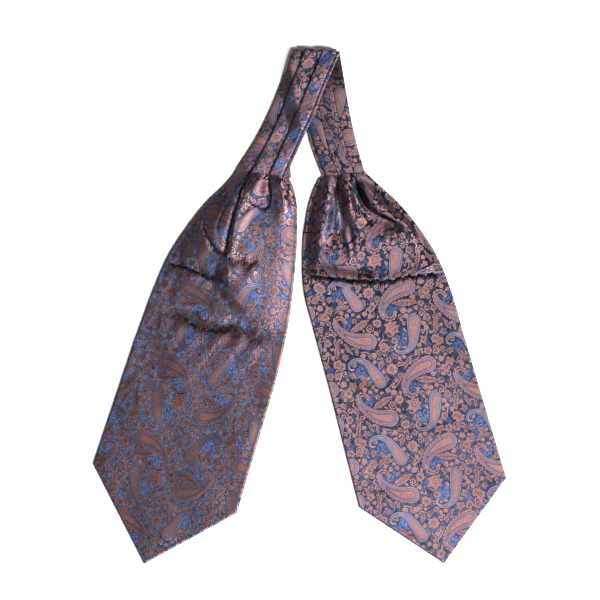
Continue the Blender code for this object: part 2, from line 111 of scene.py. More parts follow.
# How dark the places are that little light reaches
PLEAT_SHADE = 0.85
PLEAT_SHADE_REACH = 0.7
BEHIND_SHADE = 0.92  # on the lower leg where the upper one folds over it
BEHIND_FROM = 0.14
BEHIND_RUN = 0.28
LAP_SHADE_MARGIN = 0.6
LAP_SHADE_RISE = 0.9
LAP_SHADE_FADE = 2.0

# Cross creases ease in from the blade's edges, over their ends, and down from the neckband
DROP_SIDES = 22
DROP_ENDS = 12
DROP_FROM = 25
DROP_RUN = 45

# Shares of their length over which laid-on creases and hollows fade in and out
CREASE_ENDS = 0.2
HOLLOW_ENDS = 0.15

# Waves of cloth that lies loose: radians for each millimetre down and across the blade, and height
WAVES = (
    (0.031, 0.052, 0.30),
    (0.073, -0.041, 0.16),
    (-0.058, 0.109, 0.12),
    (0.127, 0.071, 0.07),
    (0.17, -0.19, 0.05),
)


class Half(NamedTuple):
    """One half of the cravat. Tables have one row for each station along s, or along the neckband's leg."""

    name: str
    origin: tuple  # x, y of s = 0, q = 0
    lean: float  # degrees from straight down to the blade's axis, positive towards +X
    mirror: int  # 1 where +q points to the viewer's right, -1 where it points to the left
    outline: tuple  # s, outer edge q, inner edge q
    outer_fold: tuple  # s, crease q, overhang over the valley, rise of the crease
    inner_fold: tuple  # the same for the fold nearer the other half
    lobes: tuple  # s, height of the outer, middle and inner lobe
    lobe_peaks: tuple  # place of each lobe's top as a share of its width
    drops: tuple  # cross creases: s at the outer and the inner edge, bow, height lost, run, q from, q to
    ramp: tuple  # s, q of the ridge of a slope that falls to the inner edge, its height, its run outwards
    lap: tuple  # q, s of the fold where the puffed part ends over the flat part, the fold's height
    floors: tuple  # s, height of the outer and of the inner valley as a share of the lobe beside it
    hidden: tuple  # s, cloth tucked out of sight at the outer fold and at the inner fold
    tucked: tuple  # cloth hidden at the lowest cross crease: amount, s at the outer and the inner edge
    point: tuple  # s, q of the outer corner, of the tip and of the inner corner
    leg: tuple  # share of the leg's length, outer x, outer y, inner x, inner y
    pleats: tuple  # share of the leg's length, share of its width at the first and at the second pleat edge
    creases: tuple  # depth, widths of the lower or outer side and the other, their lips, lips' run, s, q points
    hollows: tuple  # painted shade: places that little light reaches, and slopes darkened where their sheen is dull: how dark, reach, s, q points
    pattern: tuple  # u, v of the pattern at s = 0, q = 0


LEFT = Half(
    name="left",
    origin=(-41.6, 139.3),
    lean=-16.5,
    mirror=1,
    outline=(
        (-6, -27.5, 25.6),
        (0, -28.8, 29.5),
        (9, -31.5, 37),
        (20, -36.5, 44),
        (45, -50, 54),
        (75, -62, 61),
        (110, -72.5, 68),
        (150, -77.7, 74),
        (200, -81, 77.5),
        (280, -84.5, 77.8),
        (350, -86, 78),
    ),
    outer_fold=(
        (-6, -11, 8, 2.7),
        (0, -11.3, 7.5, 3.2),
        (8, -12.7, 5, 5),
        (18, -15.3, 1, 5.6),
        (31, -15.2, 0, 4.6),
        (52, -15, -0.6, 3.6),
        (70, -13.4, -1.4, 3),
        (84, -11.3, -3.5, 2.2),
        (95, -13.5, -7, 1),
        (110, -14, -9, 0),
        (215, -14, -9, 0),
    ),
    inner_fold=(
        (-6, 8.2, 8, 2.7),
        (0, 9.2, 7.5, 3.2),
        (6, 11.5, 5, 4.5),
        (14, 14.5, 1, 4.6),
        (24, 18.3, -1, 3.4),
        (32, 17, -4, 1.2),
        (42, 14, -6, 0.3),
        (55, 12, -8, 0),
        (215, 12, -9, 0),
    ),
    lobes=(
        (-6, 0, 0, 0),
        (0, 0.6, 0.5, 0.5),
        (10, 3.5, 4, 3),
        (19, 5, 5.2, 4.5),
        (30, 6.5, 2, 4.4),
        (40, 7, 4.4, 3.6),
        (60, 6.5, 6, 2.4),
        (82, 5.4, 5.6, 2),
        (98, 4, 3, 1.6),
        (112, 2.6, 2.4, 1.2),
        (135, 0.8, 1, 1),
        (160, 0, 0, 0),
        (215, 0, 0, 0),
    ),
    lobe_peaks=(0.84, 0.42, 0.5),
    drops=((115, 115, 0, 1.2, 12, -95, -8), (166, 166, 5, 1.4, 18, -60, 95)),
    ramp=(
        (0, -11, 0, 5),
        (20, -14, 3, 5),
        (40, -15, 7, 5),
        (65, -14, 9, 5),
        (85, -11, 9.5, 7),
        (100, -8, 8.5, 14),
        (115, -3, 7.5, 22),
        (127, 3, 6.5, 28),
        (138, 16, 4, 30),
        (148, 34, 1.6, 30),
        (158, 44, 0, 30),
        (215, 44, 0, 30),
    ),
    lap=(),
    floors=(
        (-6, 0, 0),
        (8, 0, 0),
        (30, 0.8, 0),
        (45, 0.85, 0.5),
        (60, 0.85, 1),
        (82, 0.9, 1),
        (100, 1, 1),
        (215, 1, 1),
    ),
    hidden=(
        (-6, 6, 6),
        (30, 12, 6),
        (45, 16, 3),
        (70, 19, 0),
        (92, 12, 0),
        (112, 3, 0),
        (125, 0, 0),
        (215, 0, 0),
    ),
    tucked=(3.0, 170, 172),
    point=((349.6, -86.5), (437.8, -2.7), (356.5, 78.0)),
    leg=(
        (0, -8.6, 273.8, 43.2, 271.1),
        (0.25, -20.8, 242.0, 28.4, 237.7),
        (0.5, -33.5, 210.3, 14.9, 204.4),
        (0.75, -49.5, 178.6, -0.5, 171.1),
        (1, -69.7, 146.9, -15.1, 137.7),
    ),
    pleats=((0, 0.25, 0.62), (0.6, 0.28, 0.62), (1, 0.31, 0.66)),
    creases=(
        # Dimple where the long fold ends
        (3.0, 3.2, 5.0, 1.8, 0.2, 9.0, ((80, -12), (88, -12.5), (92, -7), (94, 3), (94, 13), (90, 24))),
        # The long fold and the diagonal one beside it
        (1.2, 1.0, 1.4, 0.0, 0.0, 4.0,
         ((8, -12.9), (30, -13.8), (52, -15), (69, -13.4), (84, -11.1), (92, -13))),
        (2.2, 2.6, 2.4, 0.4, 0.7, 5.0, ((62, -48), (74, -42), (83, -34), (89.5, -25.4), (93.4, -15))),
        # Pocket at the second pleat, and its lip
        (1.0, 1.4, 2.4, 0.7, 0.2, 3.0, ((24, -6), (29, -3.5), (33.5, 5), (33, 13.5), (25, 18.5))),
        (1.2, 1.0, 1.3, 0.0, 0.2, 3.0, ((2, 9.6), (12, 13), (27, 18.2))),
        # Cross creases
        (1.9, 2.0, 3.4, 1.3, 0.0, 5.0, ((115, -80), (118, -62), (117, -46), (120, -30), (124, -14))),
        (1.8, 5.0, 8.0, 1.5, 0.0, 13.0,
         ((166, -66), (169, -48), (167, -30), (173, -19), (170, -4), (162, 24), (170, 40), (163, 62))),
        (0.8, 1.6, 2.6, 0.5, 0.0, 3.5, ((171, -34), (175, -18), (174, 0), (168, 18))),
        # Soft pleats that run out of the seam
        (0.5, 1.6, 1.6, 0.2, 0.2, 3.0, ((3, -19), (20, -25), (42, -33), (60, -38))),
        (0.4, 1.4, 1.4, 0.2, 0.2, 3.0, ((2, -23), (15, -29), (30, -38))),
        (0.5, 2.0, 2.0, 0.2, 0.2, 3.0, ((30, -24), (48, -29), (66, -30), (80, -24))),
        (0.3, 2.2, 2.2, 0.1, 0.1, 3.0, ((3, 20), (20, 28), (40, 35))),
        # Faint ones on the flat part
        (0.5, 8.0, 8.0, 0.2, 0.2, 10.0, ((222, -66), (243, -40), (251, -8))),
        (0.4, 9.0, 9.0, 0.2, 0.2, 10.0, ((268, 66), (281, 30), (300, 4))),
        (0.4, 7.0, 7.0, 0.1, 0.1, 10.0, ((312, -72), (322, -44), (341, -30))),
    ),
    hollows=(
        (0.95, 1.5, ((2, -11.5), (12, -14), (25, -15.7), (46, -15.4), (64, -14), (81, -11.8), (90, -13.6))),
        (0.75, 3.6, ((84, -13), (92, -12), (100, -4), (103, 5))),
        (0.6, 6.5, ((98, 2), (100, 12), (96, 20))),
        (0.92, 1.4, ((0, 9.2), (14, 13.5), (26, 17.4), (31, 15), (34, 10.4), (32, 3), (29, -1.7))),
        (0.5, 7.0, ((6, 5), (16, 8), (26, 10))),
        (0.8, 2.6, ((120, -71), (118.6, -55.8), (121, -39.5), (120.4, -24), (124, -10))),
        (0.55, 7.0, ((104, -20), (114, -16), (122, -2), (131, 14))),
        (0.66, 9.0, ((168, -56), (171, -36), (175, -17), (173, 8), (169, 27), (167, 47))),
        (0.8, 1.7, ((70, -44), (83, -34), (89.6, -25.4), (93.4, -16.4))),
        (0.3, 8.0, ((30, -30), (50, -30), (70, -24))),
        (0.4, 8.0, ((18, 0), (36, -4), (52, -5), (70, -5), (88, -4))),
    ),
    pattern=(6.2, -1.8),
)

RIGHT = Half(
    name="right",
    origin=(46.4, 139.3),
    lean=15.1,
    mirror=-1,
    outline=(
        (-5, -23.6, 22.4),
        (0, -24.6, 26.2),
        (9, -29.7, 34),
        (20, -36.5, 42.5),
        (45, -51, 56.5),
        (75, -64.5, 66.5),
        (110, -75.5, 74),
        (150, -80.5, 74.6),
        (200, -81.5, 74.6),
        (280, -83.2, 75.3),
        (360, -85, 76.6),
    ),
    outer_fold=(
        (-5, -10.2, 7, 2.7),
        (0, -10.4, 6.5, 3.2),
        (7, -10.3, 4.5, 4.6),
        (16, -9.5, -1, 4.4),
        (28, -8, -4, 2.8),
        (40, -10, -5.5, 1.6),
        (50, -17, -6.5, 1.1),
        (60, -27.5, -8, 0.7),
        (68, -35, -9, 0.3),
        (78, -34, -10, 0),
        (90, -30, -10, 0),
        (215, -30, -10, 0),
    ),
    inner_fold=(
        (-5, 6.4, 7, 2.7),
        (0, 7.4, 6.5, 3.2),
        (7, 9.6, 4.5, 4.6),
        (16, 12, 0.5, 4.8),
        (28, 14.2, -2.5, 3.4),
        (44, 20, -5, 2),
        (61, 27, -7, 0.8),
        (76, 31, -8, 0.2),
        (90, 33, -9, 0),
        (215, 30, -9, 0),
    ),
    lobes=(
        (-5, 0, 0, 0),
        (0, 0.6, 0.5, 0.5),
        (8, 3, 3, 2.6),
        (18, 6.5, 5.4, 4.6),
        (30, 8.6, 6.4, 5.8),
        (42, 8.8, 5.4, 6.4),
        (56, 7.2, 4.4, 6.2),
        (68, 5.6, 4.4, 5.4),
        (84, 4.8, 3.8, 4.2),
        (100, 4.0, 2.8, 2.4),
        (126, 3.0, 2.0, 1.6),
        (150, 0, 0, 0),
        (215, 0, 0, 0),
    ),
    lobe_peaks=(0.74, 0.5, 0.42),
    drops=(),
    ramp=((-5, 0, 0, 5), (215, 0, 0, 5)),
    lap=(
        (-76, 130, 0.4),
        (-64, 128, 0.5),
        (-48, 125.5, 0.8),
        (-35, 123, 1.1),
        (-25, 124, 1.6),
        (-12, 121.5, 2.6),
        (8, 116, 3.0),
        (26, 110, 2.6),
        (46, 102, 1.6),
        (70, 93, 0.8),
    ),
    floors=((-5, 0, 0), (56, 0, 0), (66, 0.5, 0.6), (76, 1, 1), (215, 1, 1)),
    hidden=((-5, 6, 6), (30, 10, 6), (50, 10, 4), (70, 4, 0), (90, 0, 0), (215, 0, 0)),
    tucked=(11.0, 124, 96),
    point=((360.8, -85.4), (432.5, 3.7), (349.6, 76.8)),
    leg=(
        (0, 43.2, 271.1, -7.6, 273.2),
        (0.25, 48.6, 238.7, -2.7, 239.8),
        (0.5, 54.0, 207.4, 3.2, 206.3),
        (0.75, 60.8, 176.0, 11.3, 171.7),
        (1, 69.7, 144.2, 23.8, 137.7),
    ),
    pleats=((0, 0.29, 0.64), (1, 0.25, 0.63)),
    creases=(
        # Valley beside the outer pleat, and the pocket that it opens into
        (2.6, 2.0, 2.4, 0.0, 0.0, 4.0, ((6, -10.5), (21, -10.4), (37, -13.8), (48.6, -22.2), (54, -28))),
        (3.0, 1.8, 8.0, 0.4, 0.0, 4.0, ((42, -18), (48.6, -22.2), (55.7, -29.4), (61.8, -38), (66, -46))),
        (1.6, 1.4, 1.6, 0.0, 0.2, 3.0,
         ((2, 7), (14.7, 11.8), (28.5, 13.7), (44, 18.6), (53, 22.8), (61, 26.5))),
        # Small ridges and troughs of the gathered middle
        (-1.3, 1.8, 1.8, 0.0, 0.0, 3.0, ((52, 11), (62, 13.2), (75, 14), (93, 15))),
        (0.9, 1.6, 1.6, 0.3, 0.3, 3.0, ((50, 6), (66, 9), (84, 10))),
        (-0.9, 1.5, 1.5, 0.0, 0.0, 3.0, ((58, 3), (72, 4.5), (86, 6))),
        (0.8, 1.8, 1.8, 0.3, 0.3, 3.0, ((52, 18), (68, 18.5), (90, 20))),
        # Rays in the pocket
        (0.8, 1.4, 1.4, 0.2, 0.2, 2.6, ((58, -31), (70, -27), (80, -18))),
        (0.8, 1.3, 1.3, 0.2, 0.2, 2.6, ((60, -34), (74, -32), (86, -27))),
        (0.8, 1.4, 1.4, 0.2, 0.2, 2.6, ((63, -38), (76, -39), (88, -37))),
        (0.6, 1.4, 1.4, 0.2, 0.2, 2.6, ((66, -44), (78, -48), (90, -50))),
        # Soft pleats that run out of the seam
        (0.5, 1.7, 1.7, 0.1, 0.1, 3.0, ((3, -15), (20, -20), (40, -30))),
        (0.4, 1.8, 1.8, 0.1, 0.1, 3.0, ((3, 18), (20, 27), (44, 36))),
        # Sag beside the inner edge
        (0.6, 2.8, 2.8, 0.2, 0.2, 5.0, ((48, 44), (66, 50), (84, 54))),
        (1.2, 5.0, 9.0, 0.3, 0.3, 9.0, ((70, 68), (84, 46), (98, 30))),
        # Faint ones on the flat part
        (0.5, 8.0, 8.0, 0.2, 0.2, 10.0, ((206, 60), (222, 30), (219, -10))),
        (0.4, 9.0, 9.0, 0.2, 0.2, 10.0, ((262, -70), (280, -36), (276, 4))),
        (0.4, 7.0, 7.0, 0.1, 0.1, 10.0, ((330, 60), (342, 30), (361, 12))),
    ),
    hollows=(
        (0.97, 1.9,
         ((4, -11), (16.8, -11.3), (29, -13), (40, -18), (48, -25.5), (52.3, -29.8), (62.8, -41.6),
          (67, -45))),
        (0.96, 7.5, ((8, -13.5), (18, -15), (28, -17), (38, -20))),
        (0.55, 7.5, ((62, -26), (70, -32), (74, -39))),
        (0.9, 1.6, ((0, 7.4), (18, 13), (35.7, 18.2), (48, 22), (60.4, 26.1))),
        (0.5, 5.0, ((30, 21), (40, 24), (52, 27))),
        (0.62, 5.0, ((86, 52), (93, 40), (101, 24), (109, 8), (116, -10))),
        (0.35, 3.5, ((118, -14), (120, -30), (123, -50))),
        (0.55, 17.0, ((26, -42), (56, -56), (88, -64), (114, -71))),
        (0.62, 4.5, ((4, 12), (20, 18), (36, 22), (50, 26))),
        (0.4, 3.5, ((8, -4), (24, -3.2), (42, -3))),
        (0.45, 10.0, ((69, 58), (78, 45), (88, 33))),
        (0.4, 8.0, ((14, -26), (34, -38), (52, -46))),
        (0.35, 5.0, ((14, 1), (24, 2), (34, 3))),
        (0.35, 2.0, ((50, 6), (66, 9), (84, 10))),
        (0.35, 2.0, ((52, 18), (68, 18.5), (90, 20))),
    ),
    pattern=(0.0, 0.0),
)


def smooth(x):
    """Eases from 0 to 1 while x does."""
    x = np.clip(x, 0.0, 1.0)
    return x * x * (3 - 2 * x)


def hermite(start, end, leave, arrive, t):
    """The place between two others at a share t of the way, on a curve with the given slopes at both."""
    return (
        start * (1 + 2 * t) * (1 - t) ** 2
        + leave * t * (1 - t) ** 2
        + end * (3 - 2 * t) * t * t
        + arrive * t * t * (t - 1)
    )


def read(table, at):
    """The table's other columns at a value of its first column, on a smooth curve through its rows."""
    rows = np.array(table, float)
    first, values = rows[:, 0], rows[:, 1:]
    slopes = np.gradient(values, first, axis=0)
    at = min(max(at, first[0]), first[-1])
    i = int(np.clip(np.searchsorted(first, at) - 1, 0, len(first) - 2))
    step = first[i + 1] - first[i]
    t = (at - first[i]) / step
    return hermite(values[i], values[i + 1], slopes[i] * step, slopes[i + 1] * step, t)


def axes(half):
    """The directions of s and of q in plan."""
    down = math.radians(half.lean)
    along = np.array([math.sin(down), -math.cos(down)])
    across = half.mirror * np.array([-along[1], along[0]])
    return along, across


def plan(half, s, q):
    """x and y of points given in a half's own frame."""
    along, across = axes(half)
    return np.array(half.origin) + np.multiply.outer(s, along) + np.multiply.outer(q, across)


def own_frame(half, x, y):
    """s and q of a point in plan."""
    along, across = axes(half)
    away = np.array([x, y]) - half.origin
    return away @ along, away @ across


def fold_points(crease, overhang, rise):
    """The points of one fold, from its valley to its crease."""
    valley = crease + overhang
    step = min(LAYER, rise / 2)
    turn = np.linspace(-math.pi / 2, math.pi / 2, TURN_POINTS)
    bulge = step / 2 * smooth(overhang / 3) * np.cos(turn)
    lift = step / 2 * (1 + np.sin(turn))
    hidden = np.arange(1, RETURN_POINTS + 1) / (RETURN_POINTS + 1)
    folded = np.concatenate(
        [
            np.column_stack([valley + bulge, lift]),
            np.column_stack([valley - overhang * hidden, step + (rise - 2 * step) * hidden]),
            np.column_stack([crease - bulge, rise - step + lift]),
        ]
    )
    share = np.linspace(0, 1, len(folded))
    opened = np.column_stack([valley - overhang * share, rise * smooth(share)])
    weight = smooth((2 - overhang) / 4)
    return folded * (1 - weight) + opened * weight


def lobe_points(count, start, end, settle, rise, height, peak, floor):
    """The points between two folds, or between a fold and an edge, over a floor that may slope."""
    share = np.arange(1, count + 1) / (count + 1)
    q = start + (end - start) * share
    swell = np.where(
        share < peak,
        np.sin(math.pi / 2 * share / peak) ** 2,
        np.cos(math.pi / 2 * (share - peak) / (1 - peak)) ** 2,
    )
    low, high = settle
    descent = 1 - smooth((q - low) / max(high - low, 2.0))
    level = floor[0] + (floor[1] - floor[0]) * smooth(share)
    return np.column_stack([q, rise * descent + level + np.maximum(height - level, 0) * swell])


def drop_height(half, s, q):
    """Height above the flat cloth that the puffed part keeps until it meets the cross creases."""
    height = np.zeros_like(q)
    outer, inner = read(half.outline, s)
    for s_outer, s_inner, bow, lost, run, q_from, q_to in half.drops:
        share = np.clip((q - outer) / (inner - outer), 0, 1)
        line = s_outer + (s_inner - s_outer) * share + bow * np.sin(math.pi * share)
        sides = smooth((q - outer) / DROP_SIDES) * smooth((inner - q) / DROP_SIDES)
        reach = smooth((q - q_from) / DROP_ENDS) * smooth((q_to - q) / DROP_ENDS)
        start = smooth((s - DROP_FROM) / DROP_RUN)
        height += lost * sides * reach * start * smooth((line - s) / run)
    return height


def ramp_height(half, s, q, inner):
    """Height of the slope that falls from its ridge to the inner edge, and more steeply outwards."""
    ridge, height, run = read(half.ramp, s)
    fall = np.clip((inner - 4 - q) / (inner - 4 - ridge), 0, 1)
    climb = smooth((q - ridge + run) / run)
    return max(height, 0.0) * fall * climb


def lap_line(half, q):
    """s of the lap at q, a little ragged."""
    places, line, _ = np.array(half.lap, float).T
    ragged = 1.1 * np.sin(0.53 * q + 0.8) + 0.7 * np.sin(1.27 * q) + 0.4 * np.sin(2.9 * q + 1)
    return np.interp(q, places, line) + ragged * (0.25 + 0.75 * smooth((14 - q) / 26))


def lap_shape(half, s, q, z):
    """Ends the puffed part at the lap with a rounded fold: height, the cloth's shift under it and shade."""
    if not half.lap:
        return z, np.zeros_like(z), np.zeros_like(z)
    before = lap_line(half, q) - s
    after = np.maximum(-before, 0)
    outer, inner = read(half.outline, s)
    sides = smooth((q - outer) / LAP_SIDES) * smooth((inner - q) / LAP_SIDES)
    places, _, rises = np.array(half.lap, float).T
    rise = np.interp(q, places, rises) * (1 + 0.16 * np.sin(0.31 * q) + 0.1 * np.sin(0.83 * q))
    roll = rise * np.exp(-((np.maximum(before - LAP_EDGE, 0) / LAP_REACH) ** 2))
    roll *= smooth((s - LAP_SWELL_FROM) / LAP_SWELL_RUN)
    foot = -LAP_FOOT * (1 - smooth(np.abs(before) / LAP_FOOT_RUN))
    lip = LAP_LIP * smooth(after / LAP_FOOT_RUN) * np.exp(-after / LAP_LIP_RUN)
    height = (z + sides * roll) * smooth(before / LAP_EDGE) + sides * (foot + lip)
    under = -LAP_UNDER * sides * smooth(1 - before / LAP_EDGE) * (1 - smooth(after / LAP_UNDER_RUN))
    shade = sides * smooth((LAP_EDGE + LAP_SHADE_MARGIN - before) / LAP_SHADE_RISE)
    shade *= 1 - smooth((after - LAP_UNDER - LAP_SHADE_MARGIN) / LAP_SHADE_FADE)
    return height, under, shade


def front_section(half, s):
    """q and z of the middle of the front's wall across the blade at s, its shift along s and its shade."""
    outer, inner = read(half.outline, s)
    crease_1, overhang_1, rise_1 = read(half.outer_fold, s)
    crease_2, overhang_2, rise_2 = read(half.inner_fold, s)
    rise_1, rise_2 = max(rise_1, 0.0), max(rise_2, 0.0)
    heights = np.maximum(read(half.lobes, s), 0)
    valley_1, valley_2 = crease_1 + overhang_1, crease_2 + overhang_2
    shares = np.clip(read(half.floors, s), 0, 1)
    floor_1 = heights[0] * shares[0]
    floor_2 = min(heights[1], heights[2]) * shares[1]
    inset = EDGE_ROLL[-1][0]
    start, end = outer + inset, inner - inset
    counts, peaks = LOBE_POINTS, half.lobe_peaks
    first = lobe_points(counts[0], start, valley_1, (start, end), 0, heights[0], peaks[0], (0, floor_1))
    settle = (max(crease_1, valley_1) + 1, min(crease_2, valley_2) - 1)
    floors = (floor_1, floor_2)
    middle = lobe_points(counts[1], crease_1, valley_2, settle, rise_1, heights[1], peaks[1], floors)
    settle = (max(crease_2, valley_2) + 1, end - 1)
    last = lobe_points(counts[2], crease_2, end, settle, rise_2, heights[2], peaks[2], (floor_2, 0))
    fold_1 = fold_points(crease_1, overhang_1, rise_1) + (0, floor_1)
    fold_2 = fold_points(crease_2, overhang_2, rise_2) + (0, floor_2)
    inside = np.concatenate([[[start, 0]], first, fold_1, middle, fold_2, last, [[end, 0]]])
    ramp = ramp_height(half, s, inside[:, 0], inner)
    inside[:, 1] = (np.maximum(inside[:, 1], 0) ** 3 + ramp**3) ** (1 / 3)
    inside[:, 1], under, shade = lap_shape(half, s, inside[:, 0], inside[:, 1])
    fold_count = len(fold_1)
    for start_at, overhang, rise in (
        (1 + counts[0], overhang_1, rise_1),
        (1 + counts[0] + fold_count + counts[1], overhang_2, rise_2),
    ):
        depth = smooth((overhang + 4) / 4) * smooth(rise / 3)
        part = slice(start_at + 1, start_at + fold_count - TURN_POINTS // 2)
        shade[part] = np.maximum(shade[part], depth)
    inside[:, 1] += FRONT_MID + drop_height(half, s, inside[:, 0])
    roll = np.array(EDGE_ROLL[:-1])
    outer_roll = np.column_stack([outer + roll[:, 0], roll[:, 1]])
    inner_roll = np.column_stack([inner - roll[:, 0], roll[:, 1]])[::-1]
    section = np.concatenate([outer_roll, inside, inner_roll])
    return section, np.pad(under, len(roll)), np.pad(shade, len(roll))


def bottom_edge(half, q):
    """s of the pointed end at q."""
    (s_outer, q_outer), (s_tip, q_tip), (s_inner, q_inner) = half.point
    outer_side = s_tip + (q - q_tip) * (s_tip - s_outer) / (q_tip - q_outer)
    inner_side = s_tip + (q - q_tip) * (s_inner - s_tip) / (q_inner - q_tip)
    return np.minimum(outer_side, inner_side)


def seam_line(half, q):
    """s of the stitched seam at q, where the leg of the neckband ends."""
    end = half.leg[-1]
    s_outer, q_outer = own_frame(half, end[1], end[2])
    s_inner, q_inner = own_frame(half, end[3], end[4])
    return s_outer + (q - q_outer) * (s_inner - s_outer) / (q_inner - q_outer) + SEAM_GAP


def tucked_cloth(half, s, q):
    """Length of cut cloth that the lowest cross crease hides from points above it."""
    amount, s_outer, s_inner = half.tucked
    if half.lap:
        return amount * smooth((lap_line(half, q) - s) / LAP_EDGE)
    outer, inner = read(half.outline, s_outer)
    line = s_outer + (s_inner - s_outer) * np.clip((q - outer) / (inner - outer), 0, 1)
    return amount * (1 - smooth((s - line + 1.5) / 3))


def front_grid(half):
    """The middle of the front's wall as rows of s, q, z, the cut's u and v at each point, and its shade."""
    rows, cuts, shades = [], [], []
    fold_count = 2 * TURN_POINTS + RETURN_POINTS
    fold_1 = len(EDGE_ROLL) + LOBE_POINTS[0]
    fold_2 = fold_1 + fold_count + LOBE_POINTS[1]
    middle = fold_1 + fold_count + LOBE_POINTS[1] // 2
    for step in np.arange(0, FOLDED_LENGTH, ROW_STEP):
        section, under, shade = front_section(half, step)
        shades.append(shade)
        shift = seam_line(half, section[:, 0]) * (1 - smooth(step / 45))
        rows.append(np.column_stack([step + shift + under, section]))
        run = np.concatenate([[0], np.cumsum(np.hypot(*np.diff(section, axis=0).T))])
        hidden = read(half.hidden, step)
        across = run - run[middle] + section[middle, 0] + hidden[0]
        share = (np.arange(len(across)) - fold_1) / fold_count
        across -= hidden[0] * (1 - np.clip(share, 0, 1))
        share = (np.arange(len(across)) - fold_2) / fold_count
        across += hidden[1] * np.clip(share, 0, 1)
        down = step + shift - tucked_cloth(half, step, section[:, 0])
        cuts.append(np.column_stack([across, down]))
    top = rows[-1]
    outer_0, inner_0 = read(half.outline, FOLDED_LENGTH)
    share = (top[:, 1] - outer_0) / (inner_0 - outer_0)
    (_, q_outer), (_, q_tip), (_, q_inner) = half.point
    q_end = q_outer + (q_inner - q_outer) * share
    q_end[int(np.argmin(np.abs(q_end - q_tip)))] = q_tip
    slopes = [bottom_edge(half, q_tip + side) - bottom_edge(half, q_tip) for side in (-1, 1)]
    tilt = np.where(q_end < q_tip, math.hypot(1, slopes[0]), math.hypot(1, slopes[1]))
    plain = int((half.point[1][0] - FOLDED_LENGTH) / ROW_STEP * 0.84)
    stations = [(n / plain, None) for n in range(1, plain)]
    stations += [(1.0, edge) for edge in reversed(EDGE_ROLL)]
    u_top = cuts[-1][:, 0]
    for part, edge in stations:
        inset = (EDGE_ROLL[-1] if edge is None else edge)[0]
        s_end = bottom_edge(half, q_end) - inset * tilt
        s = top[:, 0] + (s_end - top[:, 0]) * part
        q = top[:, 1] + (q_end - top[:, 1]) * part
        z = top[:, 2] if edge is None else np.minimum(top[:, 2], edge[1])
        rows.append(np.column_stack([s, q, z]))
        cuts.append(np.column_stack([u_top + q - top[:, 1], s]))
        shades.append(np.zeros(len(s)))
    return np.array(rows), np.array(cuts), np.array(shades)


def beside(line, s, q):
    """Distance from each point to a line through points, the share run along it, and the point's side."""
    line = spline(line, 24)
    lengths = np.concatenate([[0], np.cumsum(np.hypot(*np.diff(line, axis=0).T))])
    nearest = np.full(s.shape, FAR)
    share, side = np.zeros(s.shape), np.zeros(s.shape)
    for (s0, q0), (s1, q1), run in zip(line[:-1], line[1:], lengths[:-1]):
        ds, dq = s1 - s0, q1 - q0
        size = math.hypot(ds, dq)
        t = np.clip(((s - s0) * ds + (q - q0) * dq) / size**2, 0, 1)
        away = np.hypot(s - s0 - t * ds, q - q0 - t * dq)
        closer = away < nearest
        nearest[closer] = away[closer]
        share[closer] = (run + t[closer] * size) / lengths[-1]
        side[closer] = ((s - s0) * dq - (q - q0) * ds)[closer] / size
    return nearest, share, side


def unevenly(s, q):
    """Places moved a little, so that lines drawn through them come out ragged."""
    ragged = 0.7 * np.sin(0.83 * q + 0.31 * s) + 0.5 * np.sin(1.9 * q - 0.7 * s)
    return s + 0.5 * ragged, q + 0.3 * ragged


def hollow_shade(hollows, s, q):
    """Painted shade at points of the blade, up to 1: where little light reaches in its hollows, and on slopes
    darkened where their sheen is dull.
    """
    s, q = unevenly(s, q)
    light = np.ones_like(s)
    for dark, reach, line in hollows:
        nearest, share, _ = beside(line, s, q)
        fade = smooth(share / HOLLOW_ENDS) * smooth((1 - share) / HOLLOW_ENDS)
        light *= 1 - dark * (0.3 + 0.7 * fade) * np.exp(-((nearest / reach) ** 2))
    return 1 - light


def crease_height(creases, s, q):
    """Height that the laid-on creases add at points of the blade."""
    height = np.zeros_like(s)
    s, q = unevenly(s, q)
    for depth, low_width, high_width, low_lip, high_lip, lip_run, line in creases:
        nearest, share, side = beside(line, s, q)
        fade = smooth(share / CREASE_ENDS) * smooth((1 - share) / CREASE_ENDS)
        unevenness = 0.8 + 0.2 * np.sin(0.3 * q + 0.12 * s + depth * 9)
        trough = -depth * np.exp(-((nearest / np.where(side > 0, low_width, high_width)) ** 2))
        lip = np.where(side > 0, low_lip, high_lip) * nearest / lip_run * np.exp(1 - nearest / lip_run)
        height += fade * unevenness * (trough + lip)
    return height


def sway(s, q, seed):
    """Gentle unevenness of cloth that lies loose."""
    height = np.zeros_like(s)
    for n, (along, across, size) in enumerate(WAVES):
        height += size * np.sin(along * s + across * q + seed * (n + 1) * 1.7)
    return height


def normals(grid):
    """Unit normals of a grid of points, on its upper side."""
    normal = np.cross(np.gradient(grid, axis=0), np.gradient(grid, axis=1))
    normal /= np.maximum(np.linalg.norm(normal, axis=2, keepdims=True), 1e-9)
    return -normal if normal[..., 2].mean() < 0 else normal


# Pattern of the silk, drawn in its repeat. Lengths run as they do in the cut cloth.
REPEAT = (109.0, 86.0)
LATTICE = 0.25

